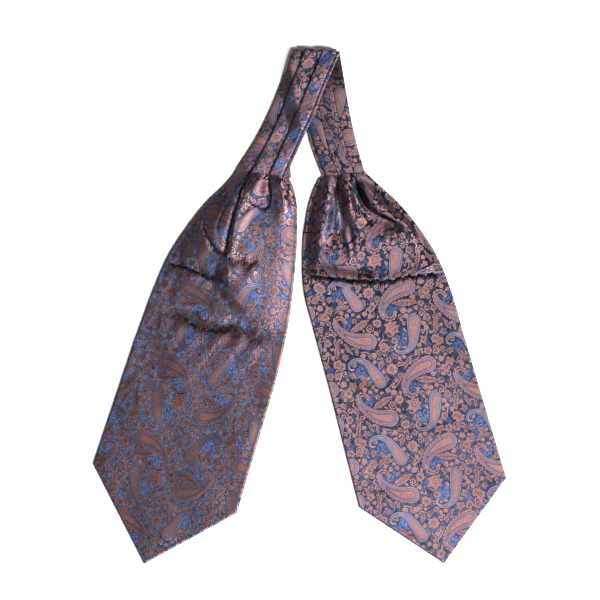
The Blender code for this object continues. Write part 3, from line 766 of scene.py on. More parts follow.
# Plain paisleys and scalloped ones: u, v and radius along each, from the tail to the head
COMMAS = (
    (
        (42.5, 118.9, 0.7),
        (45.5, 118.9, 0.9),
        (47.4, 115.9, 1.1),
        (45.6, 112.0, 1.4),
        (41.0, 109.9, 1.9),
        (35.0, 110.8, 2.6),
        (28.5, 115.6, 3.6),
        (24.3, 124.0, 4.9),
        (21.0, 132.5, 6.0),
        (18.8, 139.6, 6.6),
    ),
    (
        (-10.8, 191.2, 0.7),
        (-7.9, 191.4, 0.9),
        (-6.2, 194.6, 1.1),
        (-8.0, 198.4, 1.4),
        (-12.4, 200.6, 1.9),
        (-18.4, 200.0, 2.7),
        (-24.6, 196.0, 3.9),
        (-28.8, 188.0, 5.2),
        (-31.5, 179.0, 6.1),
        (-34.1, 170.8, 6.6),
    ),
)
PLUMES = (
    (
        (-18.6, 155.0, 0.7),
        (-17.6, 159.0, 0.9),
        (-13.0, 162.6, 1.1),
        (-6.8, 160.0, 1.6),
        (-5.0, 152.7, 2.5),
        (-8.6, 145.5, 3.7),
        (-16.0, 139.3, 5.2),
        (-25.5, 135.4, 6.8),
        (-35.7, 133.6, 7.6),
    ),
    (
        (36.0, 155.2, 0.7),
        (36.8, 150.8, 0.9),
        (41.3, 147.0, 1.1),
        (46.6, 149.6, 1.6),
        (46.0, 157.0, 2.5),
        (41.6, 165.2, 3.7),
        (35.0, 172.2, 5.3),
        (27.3, 177.0, 7.0),
        (18.9, 179.6, 7.8),
    ),
)
PLUME_FRINGE = 1.5
FRINGE_STEP = 3.4
BEAD_STEP = 1.9

# Small motifs: kind, u, v, size, turn in degrees, petals or teeth, and notches' depth or half width as a share
FLOWER, LEAF, CURL, STAR = range(4)
MOTIFS = (
    (FLOWER, 4.0, 163.2, 4.7, 0, 8, 0.12),
    (FLOWER, 55.3, 142.3, 4.5, 20, 9, 0.08),
    (STAR, 48.3, 136.3, 6.6, 12, 5, 0.46),
    (LEAF, 39.6, 137.5, 6.2, 38, 5, 0.38),
    (LEAF, 35.8, 132.0, 6.8, -62, 5, 0.34),
    (LEAF, 31.5, 138.0, 5.2, 4, 4, 0.36),
    (STAR, -11.2, 171.6, 10.4, 20, 7, 0.4),
    (FLOWER, -47.6, 170.6, 4.4, 17, 5, 0.3),
    (FLOWER, -44.2, 181.6, 3.0, 30, 3, 0.3),
    (LEAF, -54.0, 182.6, 8.2, 75, 7, 0.34),
    (STAR, -39.0, 192.9, 5.2, 6, 5, 0.36),
    (FLOWER, -50.6, 195.4, 5.0, 40, 7, 0.22),
    (FLOWER, -31.0, 204.4, 4.0, 0, 5, 0.26),
    (CURL, -49.6, 204.6, 4.2, 0, 0, 0.0),
    (FLOWER, 4.9, 190.4, 5.2, 12, 6, 0.28),
    (CURL, -2.6, 194.4, 3.4, 80, 0, 0.0),
    (CURL, 11.4, 194.0, 3.4, 200, 0, 0.0),
    (FLOWER, 3.2, 129.2, 6.4, 34, 8, 0.26),
    (LEAF, 11.6, 138.4, 4.6, 78, 3, 0.46),
    (STAR, 13.4, 149.6, 3.5, 70, 4, 0.3),
    (FLOWER, 20.6, 151.2, 2.0, 0, 0, 0.0),
    (FLOWER, 25.6, 147.4, 2.2, 0, 0, 0.0),
    (FLOWER, 32.5, 147.0, 2.4, 0, 5, 0.2),
    (STAR, -4.6, 137.4, 4.4, 50, 5, 0.34),
    (FLOWER, -32.4, 158.8, 2.4, 0, 0, 0.0),
    (FLOWER, -28.0, 163.6, 2.8, 25, 6, 0.26),
    (FLOWER, -22.6, 166.4, 1.7, 0, 0, 0.0),
    (LEAF, 22.7, 161.4, 12.9, 18, 11, 0.29),
    (LEAF, -30.0, 149.4, 12.9, -16, 11, 0.28),
    (LEAF, 42.2, 182.4, 8.0, 110, 0, 0.3),
    (LEAF, 34.6, 187.0, 4.6, 80, 3, 0.4),
    (LEAF, -12.6, 128.0, 6.4, 64, 0, 0.34),
    (LEAF, -18.4, 122.8, 5.0, 20, 3, 0.4),
    (FLOWER, 28.9, 193.4, 3.2, 0, 4, 0.3),
    (LEAF, 22.2, 196.6, 3.8, 120, 3, 0.42),
    (FLOWER, -7.8, 205.6, 2.2, 0, 3, 0.3),
    (FLOWER, 55.0, 112.4, 5.0, 20, 6, 0.34),
    (CURL, 53.7, 121.0, 3.8, 130, 0, 0.0),
    (CURL, 54.4, 149.8, 3.4, 20, 0, 0.0),
    (STAR, -29.0, 118.5, 5.2, 20, 5, 0.4),
    (FLOWER, -48.0, 122.0, 4.4, 20, 4, 0.34),
    (LEAF, 12.8, 121.2, 6.2, 60, 5, 0.4),
    (CURL, 5.0, 118.4, 3.6, 250, 0, 0.0),
    (FLOWER, 17.4, 110.2, 3.4, 10, 5, 0.3),
    (LEAF, -5.8, 179.6, 4.6, -30, 3, 0.4),
    (STAR, 51.4, 163.0, 4.6, 0, 5, 0.36),
    (LEAF, 53.0, 174.6, 6.0, 100, 5, 0.36),
    (CURL, -41.8, 164.6, 3.4, 300, 0, 0.0),
    (STAR, -45.6, 154.0, 4.2, 30, 6, 0.3),
    (LEAF, -48.0, 142.0, 5.4, 60, 4, 0.38),
    (FLOWER, -51.0, 131.6, 3.6, 0, 5, 0.26),
)
STEM_RADIUS = 0.62
STEMS = (
    ((8.0, 139.0), (5.5, 143.0), (3.6, 148.0), (4.3, 158.0)),
    ((3.6, 148.0), (-1.0, 144.5), (-4.0, 141.0)),
    ((5.0, 144.0), (9.0, 146.0), (12.0, 148.5)),
    ((17.1, 196.1), (11.0, 200.5), (4.4, 205.4), (0.6, 208.6), (2.5, 212.0)),
    ((11.0, 200.5), (13.0, 204.5), (16.5, 205.0)),
    ((6.0, 204.2), (4.4, 199.5), (4.6, 195.0)),
    ((-42.4, 158.7), (-46.0, 162.0), (-47.4, 167.0)),
    ((-44.2, 184.6), (-42.8, 188.4), (-40.5, 190.6)),
    ((10.0, 187.0), (4.0, 183.0), (-1.0, 183.5), (-4.0, 187.0)),
    ((4.0, 183.0), (2.0, 178.0), (4.6, 168.0)),
    ((52.0, 153.4), (54.5, 156.4), (51.5, 159.0)),
    ((51.6, 167.6), (52.6, 169.4), (53.4, 171.0)),
    ((-29.0, 123.5), (-25.0, 126.0), (-20.0, 125.5)),
    ((30.0, 189.0), (25.0, 190.6), (21.0, 193.4)),
    ((-38.0, 163.0), (-33.0, 163.5), (-30.0, 163.6)),
    ((-55.0, 191.2), (-53.0, 192.6), (-51.5, 193.0)),
)
# The cloud shapes, mostly inside the hooks: u, v, radius
CLOUDS = (
    (36.5, 121.5, 5.2),
    (33.5, 127.4, 3.8),
    (41.0, 127.0, 3.0),
    (-14.5, 153.4, 4.6),
    (-22.5, 154.2, 3.8),
    (-11.0, 157.0, 2.6),
    (-15.5, 189.8, 5.2),
    (-20.5, 183.4, 3.6),
    (-12.6, 183.6, 2.8),
    (36.6, 157.6, 4.6),
    (31.0, 152.4, 3.6),
    (39.0, 162.4, 2.6),
    (1.8, 137.6, 3.0),
    (-22.0, 129.0, 3.0),
    (-42.5, 142.5, 3.0),
    (-41.0, 199.4, 3.6),
    (16.0, 186.8, 3.0),
)

# Gaps in the ground are filled with smaller motifs
FILL_CLEARANCE = 2.2
FILL_MARGIN = 0.25
FILL_MOST = 4.4
FILL_COUNT = 130
# What fills them: least size, then kind, petals or teeth, and depth, used in turn
FILLERS = (
    (2.5, ((STAR, 5, 0.45), (CURL, 0, 0.0), (FLOWER, 5, 0.3), (STAR, 6, 0.4))),
    (1.6, ((STAR, 3, 0.5), (LEAF, 2, 0.5), (FLOWER, 4, 0.3), (LEAF, 3, 0.55), (STAR, 4, 0.45))),
    (0.0, ((LEAF, 2, 0.5), (STAR, 3, 0.5), (STAR, 4, 0.45))),
)
FAR = 1e3


def spline(rows, steps):
    """Points along a smooth curve through the rows."""
    rows = np.array(rows, float)
    t = np.linspace(0, len(rows) - 1, steps)
    i = np.minimum(t.astype(int), len(rows) - 2)
    slope = np.gradient(rows, axis=0)
    return hermite(rows[i], rows[i + 1], slope[i], slope[i + 1], (t - i)[:, None])


def offset(u, v, place):
    """How far each point is from the nearest repeat of a place."""
    du = (u - place[0] + REPEAT[0] / 2) % REPEAT[0] - REPEAT[0] / 2
    dv = (v - place[1] + REPEAT[1] / 2) % REPEAT[1] - REPEAT[1] / 2
    return du, dv


def stroke(u, v, rows, steps=90):
    """Distance to a stroke of varying radius, negative inside it, and the run along it and round its head."""
    curve = spline(rows, steps)
    lengths = np.concatenate([[0], np.cumsum(np.hypot(*np.diff(curve[:, :2], axis=0).T))])
    distance = np.full(u.shape, FAR)
    run = np.zeros(u.shape)
    for (cu, cv, radius), length in zip(curve, lengths):
        near = np.hypot(*offset(u, v, (cu, cv))) - radius
        closer = near < distance
        distance[closer] = near[closer]
        run[closer] = length
    end, before = curve[-1], curve[-4]
    du, dv = offset(u, v, end)
    ahead = math.atan2(end[1] - before[1], end[0] - before[0])
    turn = (np.arctan2(dv, du) - ahead + math.pi) % (2 * math.pi) - math.pi
    cap = run >= lengths[-1] - 1e-9
    run[cap] += end[2] * (math.pi / 2 - np.abs(turn[cap])).clip(0)
    return distance, run


def motif_clearance(u, v, motif):
    """Distance to a small motif, near enough for spacing the others."""
    kind, cu, cv, size, turn, _, depth = motif
    if kind != LEAF:
        return np.hypot(*offset(u, v, (cu, cv))) - size
    clearance = np.full(u.shape, FAR)
    ahead = math.radians(turn)
    for share in (-0.8, -0.4, 0.0, 0.4, 0.8):
        place = (cu + share * size * math.cos(ahead), cv + share * size * math.sin(ahead))
        radius = size * depth * (1 - 0.7 * share**2)
        clearance = np.minimum(clearance, np.hypot(*offset(u, v, place)) - radius)
    return clearance


def fill_gaps(u, v, clearance):
    """Smaller motifs for the widest gaps, one after another, and the clearance from all of them."""
    added = []
    for n in range(FILL_COUNT):
        place = int(clearance.argmax())
        widest = clearance.flat[place]
        if widest < FILL_CLEARANCE:
            break
        size = min(widest - FILL_MARGIN, FILL_MOST)
        choices = next(choices for least, choices in FILLERS if size >= least)
        kind, count, depth = choices[n % len(choices)]
        reach = size * 1.25 if kind == LEAF else size * 1.1
        motif = (kind, u.flat[place], v.flat[place], reach, n * 47.0, count, depth)
        added.append(motif)
        clearance = np.minimum(clearance, motif_clearance(u, v, motif))
    return added


def draw_pattern():
    """The pattern's fields over one repeat, on a square lattice, and all its small motifs."""
    u, v = np.meshgrid(np.arange(0, REPEAT[0], LATTICE), np.arange(0, REPEAT[1], LATTICE))
    paisley, run, plume, stem, cloud = (np.full(u.shape, value) for value in (FAR, 0.0, 0.0, FAR, FAR))
    for kind, group in enumerate((COMMAS, PLUMES)):
        for rows in group:
            distance, along = stroke(u, v, rows)
            closer = distance < paisley
            paisley[closer], run[closer], plume[closer] = distance[closer], along[closer], kind
    for points in STEMS:
        distance, _ = stroke(u, v, [(*point, STEM_RADIUS) for point in points], 40)
        stem = np.minimum(stem, distance)
    for cu, cv, radius in CLOUDS:
        du, dv = offset(u, v, (cu, cv))
        lobed = radius * (1 + 0.16 * np.cos(6 * np.arctan2(dv, du)))
        cloud = np.minimum(cloud, np.hypot(du, dv) - lobed)
    clearance = np.minimum(paisley - PLUME_FRINGE * plume, np.minimum(stem, cloud + 1.2))
    for motif in MOTIFS:
        clearance = np.minimum(clearance, motif_clearance(u, v, motif))
    motifs = list(MOTIFS) + fill_gaps(u[::2, ::2], v[::2, ::2], clearance[::2, ::2])
    nearest = np.full(u.shape, FAR)
    owner = np.zeros(u.shape, int)
    for n, motif in enumerate(motifs):
        away = motif_clearance(u, v, motif)
        closer = away < nearest
        nearest[closer], owner[closer] = away[closer], n
    fields = dict(paisley=paisley, run=run, plume=plume, stem=stem, cloud=cloud)
    fields = {name: np.clip(field, -30, 60) for name, field in fields.items()}
    return fields, np.array(motifs, float), owner


PATTERN, ALL_MOTIFS, MOTIF_OWNER = draw_pattern()


def pattern_at(name, cut):
    """One of the pattern's fields at points of the cut cloth, between the lattice's points."""
    field = PATTERN[name]
    rows, columns = field.shape
    x, y = cut[..., 0] / LATTICE % columns, cut[..., 1] / LATTICE % rows
    if name in ("run", "plume"):
        return field[np.round(y).astype(int) % rows, np.round(x).astype(int) % columns]
    i, j = x.astype(int), y.astype(int)
    fx, fy = x - i, y - j
    i, j = i % columns, j % rows
    i1, j1 = (i + 1) % columns, (j + 1) % rows
    low = field[j, i] * (1 - fx) + field[j, i1] * fx
    high = field[j1, i] * (1 - fx) + field[j1, i1] * fx
    return low * (1 - fy) + high * fy


def motif_frames(centres, corners):
    """For each face, the small motif nearest its centre, and its corners' places in that motif's frame."""
    rows, columns = MOTIF_OWNER.shape
    i = np.round(centres[:, 0] / LATTICE).astype(int) % columns
    j = np.round(centres[:, 1] / LATTICE).astype(int) % rows
    chosen = ALL_MOTIFS[MOTIF_OWNER[j, i]]
    du, dv = offset(centres[:, 0], centres[:, 1], (chosen[:, 1], chosen[:, 2]))
    du = (du - centres[:, 0])[:, None] + corners[..., 0]
    dv = (dv - centres[:, 1])[:, None] + corners[..., 1]
    turn = np.radians(chosen[:, 4])[:, None]
    x = du * np.cos(turn) + dv * np.sin(turn)
    y = dv * np.cos(turn) - du * np.sin(turn)
    size = np.broadcast_to(chosen[:, 3][:, None], x.shape)
    return np.stack([x, y, size], axis=-1), chosen[:, [0, 5, 6]]


# Materials


class Nodes:
    """A new material, with short calls for building its node tree."""

    def __init__(self, name):
        self.material = bpy.data.materials.new(name)
        self.material.use_nodes = True
        self.tree = self.material.node_tree
        self.tree.nodes.clear()

    def add(self, kind, inputs=None, **settings):
        """A node with some inputs linked or set."""
        node = self.tree.nodes.new(kind)
        for name, value in settings.items():
            setattr(node, name, value)
        for name, value in (inputs or {}).items():
            if isinstance(value, bpy.types.NodeSocket):
                self.tree.links.new(value, node.inputs[name])
            else:
                node.inputs[name].default_value = value
        return node

    def math(self, operation, *values, clamp=False):
        """A Math node's result."""
        inputs = dict(enumerate(values))
        return self.add("ShaderNodeMath", inputs, operation=operation, use_clamp=clamp).outputs[0]

    def attribute(self, name):
        """A number that the mesh's points carry."""
        return self.add("ShaderNodeAttribute", attribute_name=name).outputs["Fac"]

    def below(self, value, edge, soft=0.35):
        """1 where value is below edge and 0 above it, over a short ramp."""
        inputs = {"Value": value, "From Min": edge + soft / 2, "From Max": edge - soft / 2}
        return self.add("ShaderNodeMapRange", inputs, interpolation_type="LINEAR", clamp=True).outputs[0]

    def mix(self, factor, first, second):
        """A mix of two colours."""
        return self.add("ShaderNodeMix", {0: factor, 6: first, 7: second}, data_type="RGBA").outputs[2]

    def choose(self, factor, first, second):
        """A blend of two numbers."""
        return self.add("ShaderNodeMix", {0: factor, 2: first, 3: second}, data_type="FLOAT").outputs[0]


def colour(code):
    """A linear colour from a web colour code."""
    parts = [int(code[i : i + 2], 16) / 255 for i in (0, 2, 4)]
    return (*[c / 12.92 if c <= 0.04045 else ((c + 0.055) / 1.055) ** 2.4 for c in parts], 1.0)


GROUND_DEEP = colour("262b3e")
GROUND_LIT = colour("434e6a")
SHADE_LINE = colour("281d28")
CLOUD_BLUE = colour("414d76")
CLOUD_PALE = colour("6d7398")
BAND_BLUE = colour("535672")
LILAC = colour("807180")
SAGE = colour("6e6561")
PALE_LINE = colour("886a70")
# Painted shade: the colour mixed in where little light reaches
PAINTED_SHADE_COLOUR = colour("0b0a10")
PLUM = colour("36222f")
COPPER = colour("9b6c62")
COPPER_DEEP = colour("86584f")
ORANGE = colour("a25b49")
MAUVE = colour("6e596b")


# How far the motifs' outlines stray in millimetres, and how closely
WANDER = 4.4
WANDER_SCALE = 32.0
CURL_PITCH = 2.5
CURL_ARM = 0.62
LINED_SIZE = 3.7  # smaller motifs have no lines inside them

# Threads: how rough the figures, the ground and the outlines are, and how much all shine across their run
FIGURE_ROUGHNESS = 0.5
GROUND_ROUGHNESS = 0.48
OUTLINE_ROUGHNESS = 0.42
THREAD_SHINE = {"Metallic": 0.9, "Anisotropic": 0.82}
ACROSS = 0.25  # a quarter turn, for threads that run across the cloth


class Silk(Nodes):
    """The silk's own groups of nodes."""

    def fields(self):
        """Reads what the mesh carries."""
        for name in PATTERN:
            setattr(self, name, self.attribute(name))
        place = self.add("ShaderNodeAttribute", attribute_name="motif_place").outputs["Vector"]
        place = self.add("ShaderNodeSeparateXYZ", {0: place})
        self.cut = self.add("ShaderNodeUVMap", uv_map="cut").outputs[0]
        inputs = {"Vector": self.cut, "Scale": WANDER_SCALE, "Detail": 3.0, "Roughness": 0.6}
        wander = self.add("ShaderNodeTexNoise", inputs).outputs["Color"]
        moved = self.add("ShaderNodeSeparateXYZ", {0: wander}).outputs
        self.x = self.math("MULTIPLY_ADD", self.math("SUBTRACT", moved[0], 0.5), WANDER, place.outputs[0])
        self.y = self.math("MULTIPLY_ADD", self.math("SUBTRACT", moved[1], 0.5), WANDER, place.outputs[1])
        self.size = place.outputs[2]
        kind = self.add("ShaderNodeAttribute", attribute_name="motif_kind").outputs["Vector"]
        kind = self.add("ShaderNodeSeparateXYZ", {0: kind})
        self.kind, self.count, self.depth = kind.outputs

    def noise(self, scale, detail=2.0, roughness=0.6):
        """Noise on the cut cloth."""
        inputs = {"Vector": self.cut, "Scale": scale, "Detail": detail, "Roughness": roughness}
        return self.add("ShaderNodeTexNoise", inputs).outputs[0]

    def spread(self, value, gain, middle=0.5):
        """Noise made stronger around its middle."""
        return self.math("MULTIPLY_ADD", value, gain, 0.5 - gain * middle, clamp=True)

    def near(self, value, place, half_width, soft=0.2):
        """1 where value is within half_width of a place."""
        return self.below(self.math("ABSOLUTE", self.math("SUBTRACT", value, place)), half_width, soft)

    def mottle(self):
        """The figures' filling: pink copper with darker, grey, mauve and orange flecks."""
        made = self.mix(self.spread(self.noise(85.0), 5.0), COPPER_DEEP, COPPER)
        made = self.mix(self.spread(self.noise(34.0, 1.0), 5.0, 0.55), made, MAUVE)
        made = self.mix(self.spread(self.noise(27.0, 1.0), 7.0, 0.6), made, SAGE)
        made = self.mix(self.spread(self.noise(61.0, 1.0), 9.0, 0.6), made, PALE_LINE)
        made = self.mix(self.spread(self.noise(47.0, 1.0), 9.0, 0.6), made, ORANGE)
        return self.mix(self.spread(self.noise(105.0, 1.0), 7.0, 0.63), made, PLUM)

    def ground(self):
        """The ground, its cloud shapes and its stems."""
        made = self.mix(self.spread(self.noise(22.0, 3.0), 4.0), GROUND_DEEP, GROUND_LIT)
        flecks = self.mix(self.spread(self.noise(60.0, 1.0), 7.0, 0.6), CLOUD_BLUE, CLOUD_PALE)
        flecks = self.mix(self.spread(self.noise(38.0), 7.0, 0.56), flecks, GROUND_DEEP)
        made = self.mix(self.below(self.cloud, 0.0), made, flecks)
        made = self.mix(self.below(self.stem, 0.45), made, SHADE_LINE)
        return self.mix(self.below(self.stem, 0.0, 0.3), made, PALE_LINE)

    def small_motif(self, mottle):
        """Colour of the flowers, leaves and curls, and the distance to their edge."""
        calc = self.math
        squares = (calc("MULTIPLY", value, value) for value in (self.x, self.y))
        radius = calc("SQRT", calc("ADD", *squares))
        angle = calc("ARCTAN2", self.y, self.x)
        half_turn = calc("MULTIPLY", calc("MULTIPLY", angle, self.count), 0.5)
        lobe = calc("POWER", calc("ABSOLUTE", calc("COSINE", half_turn)), 0.8)
        notch = calc("MULTIPLY", self.depth, calc("SUBTRACT", 1.0, lobe))
        edge = calc("MULTIPLY", self.size, calc("SUBTRACT", 1.0, notch))
        flower = calc("SUBTRACT", radius, edge)
        point = calc("ABSOLUTE", calc("SINE", half_turn))
        point = calc("SUBTRACT", 1.0, calc("MULTIPLY", self.depth, calc("POWER", point, 0.85)))
        longer = calc("MULTIPLY_ADD", calc("COSINE", angle), 0.2, 0.95)
        star = calc("SUBTRACT", radius, calc("MULTIPLY", calc("MULTIPLY", self.size, longer), point))
        share = calc("DIVIDE", self.x, self.size)
        teeth = calc("MULTIPLY", calc("MULTIPLY", share, self.count), math.pi / 2)
        teeth = calc("ABSOLUTE", calc("SINE", teeth))
        taper = calc("SUBTRACT", 1.0, calc("MULTIPLY", share, share))
        taper = calc("MULTIPLY", taper, calc("MULTIPLY_ADD", teeth, 0.3, 0.82))
        reach = calc("MULTIPLY", calc("MULTIPLY", self.size, self.depth), taper)
        side = calc("ABSOLUTE", self.y)
        leaf = calc("MULTIPLY", calc("SUBTRACT", side, reach), 0.9)
        turns = calc("SUBTRACT", calc("DIVIDE", radius, CURL_PITCH), calc("DIVIDE", angle, 2 * math.pi))
        arm = calc("MULTIPLY", calc("ABSOLUTE", calc("SUBTRACT", calc("FRACT", turns), 0.5)), CURL_PITCH)
        curl = calc("MAXIMUM", calc("SUBTRACT", arm, CURL_ARM), calc("SUBTRACT", radius, self.size))
        is_leaf = self.near(self.kind, LEAF, 0.5, 0.01)
        is_curl = self.near(self.kind, CURL, 0.5, 0.01)
        flower = self.choose(self.near(self.kind, STAR, 0.5, 0.01), flower, star)
        distance = self.choose(is_curl, self.choose(is_leaf, flower, leaf), curl)

        petal_line = calc("MULTIPLY", calc("ABSOLUTE", calc("SINE", half_turn)), radius)
        ring = calc("ABSOLUTE", calc("SUBTRACT", radius, calc("MULTIPLY", self.size, 0.34)))
        petal_line = self.choose(calc("GREATER_THAN", self.count, 0.5), 1.0, petal_line)
        flower_line = calc("MINIMUM", ring, petal_line)
        side_vein = calc("FRACT", calc("MULTIPLY", calc("SUBTRACT", self.x, side), 0.5))
        side_vein = calc("MULTIPLY", calc("ABSOLUTE", calc("SUBTRACT", side_vein, 0.5)), 1.6)
        leaf_line = calc("MINIMUM", side, calc("ADD", side_vein, 0.06))
        lines = self.choose(is_leaf, flower_line, leaf_line)
        lines = self.choose(is_curl, lines, 1.0)
        lines = calc("ADD", lines, self.below(self.size, LINED_SIZE, 0.2))
        made = self.mix(self.below(lines, 0.27, 0.2), mottle, PLUM)
        return self.mix(self.below(distance, -0.5, 0.25), PALE_LINE, made), distance

    def comma(self, mottle):
        """A plain paisley: thin lilac and dark lines round a copper heart."""
        heart = self.mix(self.below(self.paisley, -3.0, 0.3), MAUVE, mottle)
        heart = self.mix(self.near(self.paisley, -2.7, 0.16), heart, PLUM)
        heart = self.mix(self.near(self.paisley, -2.25, 0.3), heart, LILAC)
        heart = self.mix(self.near(self.paisley, -1.45, 0.42), heart, BAND_BLUE)
        heart = self.mix(self.near(self.paisley, -0.85, 0.16), heart, PLUM)
        return self.mix(self.below(self.paisley, -0.7, 0.15), LILAC, heart)

    def plume_face(self, mottle):
        """A scalloped paisley: a fringe, a beaded band and a mottled heart."""
        calc = self.math
        beads = calc("COSINE", calc("MULTIPLY", self.run, 2 * math.pi / BEAD_STEP))
        beads = calc("GREATER_THAN", beads, 0.0)
        made = self.mix(self.below(self.paisley, -3.5, 0.3), MAUVE, mottle)
        made = self.mix(self.near(self.paisley, -3.35, 0.2), made, PLUM)
        bead_row = calc("MULTIPLY", self.near(self.paisley, -2.3, 0.36), beads)
        made = self.mix(bead_row, made, PLUM)
        made = self.mix(self.near(self.paisley, -1.25, 0.22), made, LILAC)
        made = self.mix(self.near(self.paisley, -0.7, 0.26), made, PLUM)
        return self.mix(self.below(self.paisley, -0.4, 0.25), mottle, made)


def silk(name):
    """Jacquard silk: a warp-faced blue ground and weft-faced figures. Threads shine across their own run."""
    nodes = Silk(name)
    nodes.fields()
    add, calc = nodes.add, nodes.math
    mottle = nodes.mottle()
    face = nodes.ground()
    line = nodes.below(nodes.stem, 0.0, 0.3)
    figure = calc("MAXIMUM", line, calc("MULTIPLY", nodes.below(nodes.cloud, 0.0), 0.45))

    motif, distance = nodes.small_motif(mottle)
    face = nodes.mix(nodes.below(distance, 0.55, 0.3), face, SHADE_LINE)
    inside = nodes.below(distance, 0.0, 0.2)
    face = nodes.mix(inside, face, motif)
    figure = calc("MAXIMUM", figure, inside)
    line = nodes.choose(inside, line, calc("SUBTRACT", 1.0, nodes.below(distance, -0.5, 0.25)))

    wave = calc("ABSOLUTE", calc("SINE", calc("MULTIPLY", nodes.run, math.pi / FRINGE_STEP)))
    fringe = calc("MULTIPLY", nodes.plume, calc("MULTIPLY", wave, PLUME_FRINGE))
    edge = calc("SUBTRACT", nodes.paisley, fringe)
    paisley = nodes.mix(nodes.plume, nodes.comma(mottle), nodes.plume_face(mottle))
    paisley = nodes.mix(calc("MULTIPLY", nodes.near(edge, -0.2, 0.25), nodes.plume), paisley, PALE_LINE)
    face = nodes.mix(nodes.below(edge, 0.6, 0.3), face, SHADE_LINE)
    inside = nodes.below(edge, 0.0, 0.2)
    face = nodes.mix(inside, face, paisley)
    figure = calc("MAXIMUM", figure, inside)
    line = nodes.choose(inside, line, nodes.near(edge, -0.3, 0.35))

    # Painted shade: the mesh's shade darkens the colour where little light reaches, as at the bottom of a fold
    face = nodes.mix(calc("MULTIPLY", nodes.attribute("shade"), 0.92), face, PAINTED_SHADE_COLOUR)

    # Threads
    tangent = add("ShaderNodeTangent", direction_type="UV_MAP", uv_map="cut").outputs[0]
    relief = calc("MULTIPLY_ADD", figure, 0.35, calc("MULTIPLY", nodes.noise(260.0, 3.0), 0.5))
    bump = add("ShaderNodeBump", {"Height": relief, "Strength": 0.25, "Distance": 0.0004}).outputs[0]
    shared = {"Base Color": face, "Normal": bump, "Tangent": tangent, **THREAD_SHINE}
    weft = {**shared, "Roughness": FIGURE_ROUGHNESS, "Anisotropic Rotation": ACROSS}
    warp = {**shared, "Roughness": GROUND_ROUGHNESS}
    floats = {**shared, "Roughness": OUTLINE_ROUGHNESS, "Anisotropic Rotation": ACROSS}
    threads = (weft, warp, floats)
    weft, warp, floats = (add("ShaderNodeBsdfPrincipled", inputs).outputs[0] for inputs in threads)
    woven = add("ShaderNodeMixShader", {0: figure, 1: warp, 2: weft}).outputs[0]
    mixed = add("ShaderNodeMixShader", {0: line, 1: woven, 2: floats}).outputs[0]
    add("ShaderNodeOutputMaterial", {"Surface": mixed})
    return nodes.material


SILK = silk("paisley_silk")


# Meshes


def link(name, data):
    """A new object in the scene."""
    made = bpy.data.objects.new(name, data)
    bpy.context.scene.collection.objects.link(made)
    return made


def sheet_mesh(name, grid, cut, closed=False, shade=None):
    """A mesh through a grid of points in millimetres, which carries the cut's place and the pattern."""
    shade = np.zeros(grid.shape[:2]) if shade is None else shade
    rows, columns = grid.shape[:2]
    index = np.arange(rows * columns).reshape(rows, columns)
    if closed:
        index = np.concatenate([index, index[:, :1]], axis=1)
    quads = [index[:-1, :-1], index[1:, :-1], index[1:, 1:], index[:-1, 1:]]
    quads = np.stack(quads, axis=-1).reshape(-1, 4)
    mesh = bpy.data.meshes.new(name)
    mesh.from_pydata((grid.reshape(-1, 3) * MM).tolist(), [], quads.tolist())
    flat_cut = cut.reshape(-1, 2)
    for field in PATTERN:
        values = pattern_at(field, flat_cut).astype(np.float32)
        mesh.attributes.new(field, "FLOAT", "POINT").data.foreach_set("value", values)
    # Painted shade, which darkens the silk's colour
    values = shade.astype(np.float32).ravel()
    mesh.attributes.new("shade", "FLOAT", "POINT").data.foreach_set("value", values)
    corners = flat_cut[quads]
    place, kind = motif_frames(corners.mean(axis=1), corners)
    carried = mesh.attributes.new("motif_place", "FLOAT_VECTOR", "CORNER")
    carried.data.foreach_set("vector", place.astype(np.float32).ravel())
    carried = mesh.attributes.new("motif_kind", "FLOAT_VECTOR", "FACE")
    carried.data.foreach_set("vector", kind.astype(np.float32).ravel())
    layer = mesh.uv_layers.new(name="cut")
    layer.data.foreach_set("uv", (corners * 0.01).astype(np.float32).ravel())
    mesh.shade_smooth()
    mesh.materials.append(SILK)
    return link(name, mesh)


def area_of(mesh):
    """A mesh's area in square metres."""
    areas = np.empty(len(mesh.polygons))
    mesh.polygons.foreach_get("area", areas)
    return float(areas.sum())


def dress(piece, node, cut):
    """Puts a piece of cloth in its solid's place, hides the solid, and works out its area from the mesh and the
    cut.
    """
    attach(piece, "root")
    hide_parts(node)
    area = min(area_of(piece.data), cut[0] * cut[1])


def front(half, seed):
    """The front of one blade."""
    grid, cut, shade = front_grid(half)
    s, q = grid[..., 0], grid[..., 1]
    edges = np.array([read(half.outline, at) for at in s[:, s.shape[1] // 2]])
    inside = np.minimum(q - edges[:, :1], edges[:, 1:] - q)
    inside = np.minimum(inside, (bottom_edge(half, q) - s) * 0.7)
    world = np.dstack([plan(half, s, q), grid[..., 2]])
    flat = smooth((normals(world)[..., 2] - 0.3) / 0.5) * smooth((inside - 3) / 10)
    height = crease_height(half.creases, s, q) + sway(s, q, seed) * smooth((s - 10) / 60)
    world[..., 2] += flat * height
    world += normals(world) * WALL / 2
    lowest = np.where(inside > 2.5, BACK_THICK + 0.5, 0.0)
    world[..., 2] = np.maximum(world[..., 2], lowest)
    # Painted shade of the hollows and dull slopes, joined to that of the folds and the lap
    shade = np.maximum(shade, hollow_shade(half.hollows, s, q) * smooth((inside - 1) / 4))
    made = sheet_mesh("silk_front_" + half.name, world, cut + half.pattern, shade=shade)
    dress(made, "blade_front_" + half.name, BLADE_CUT)


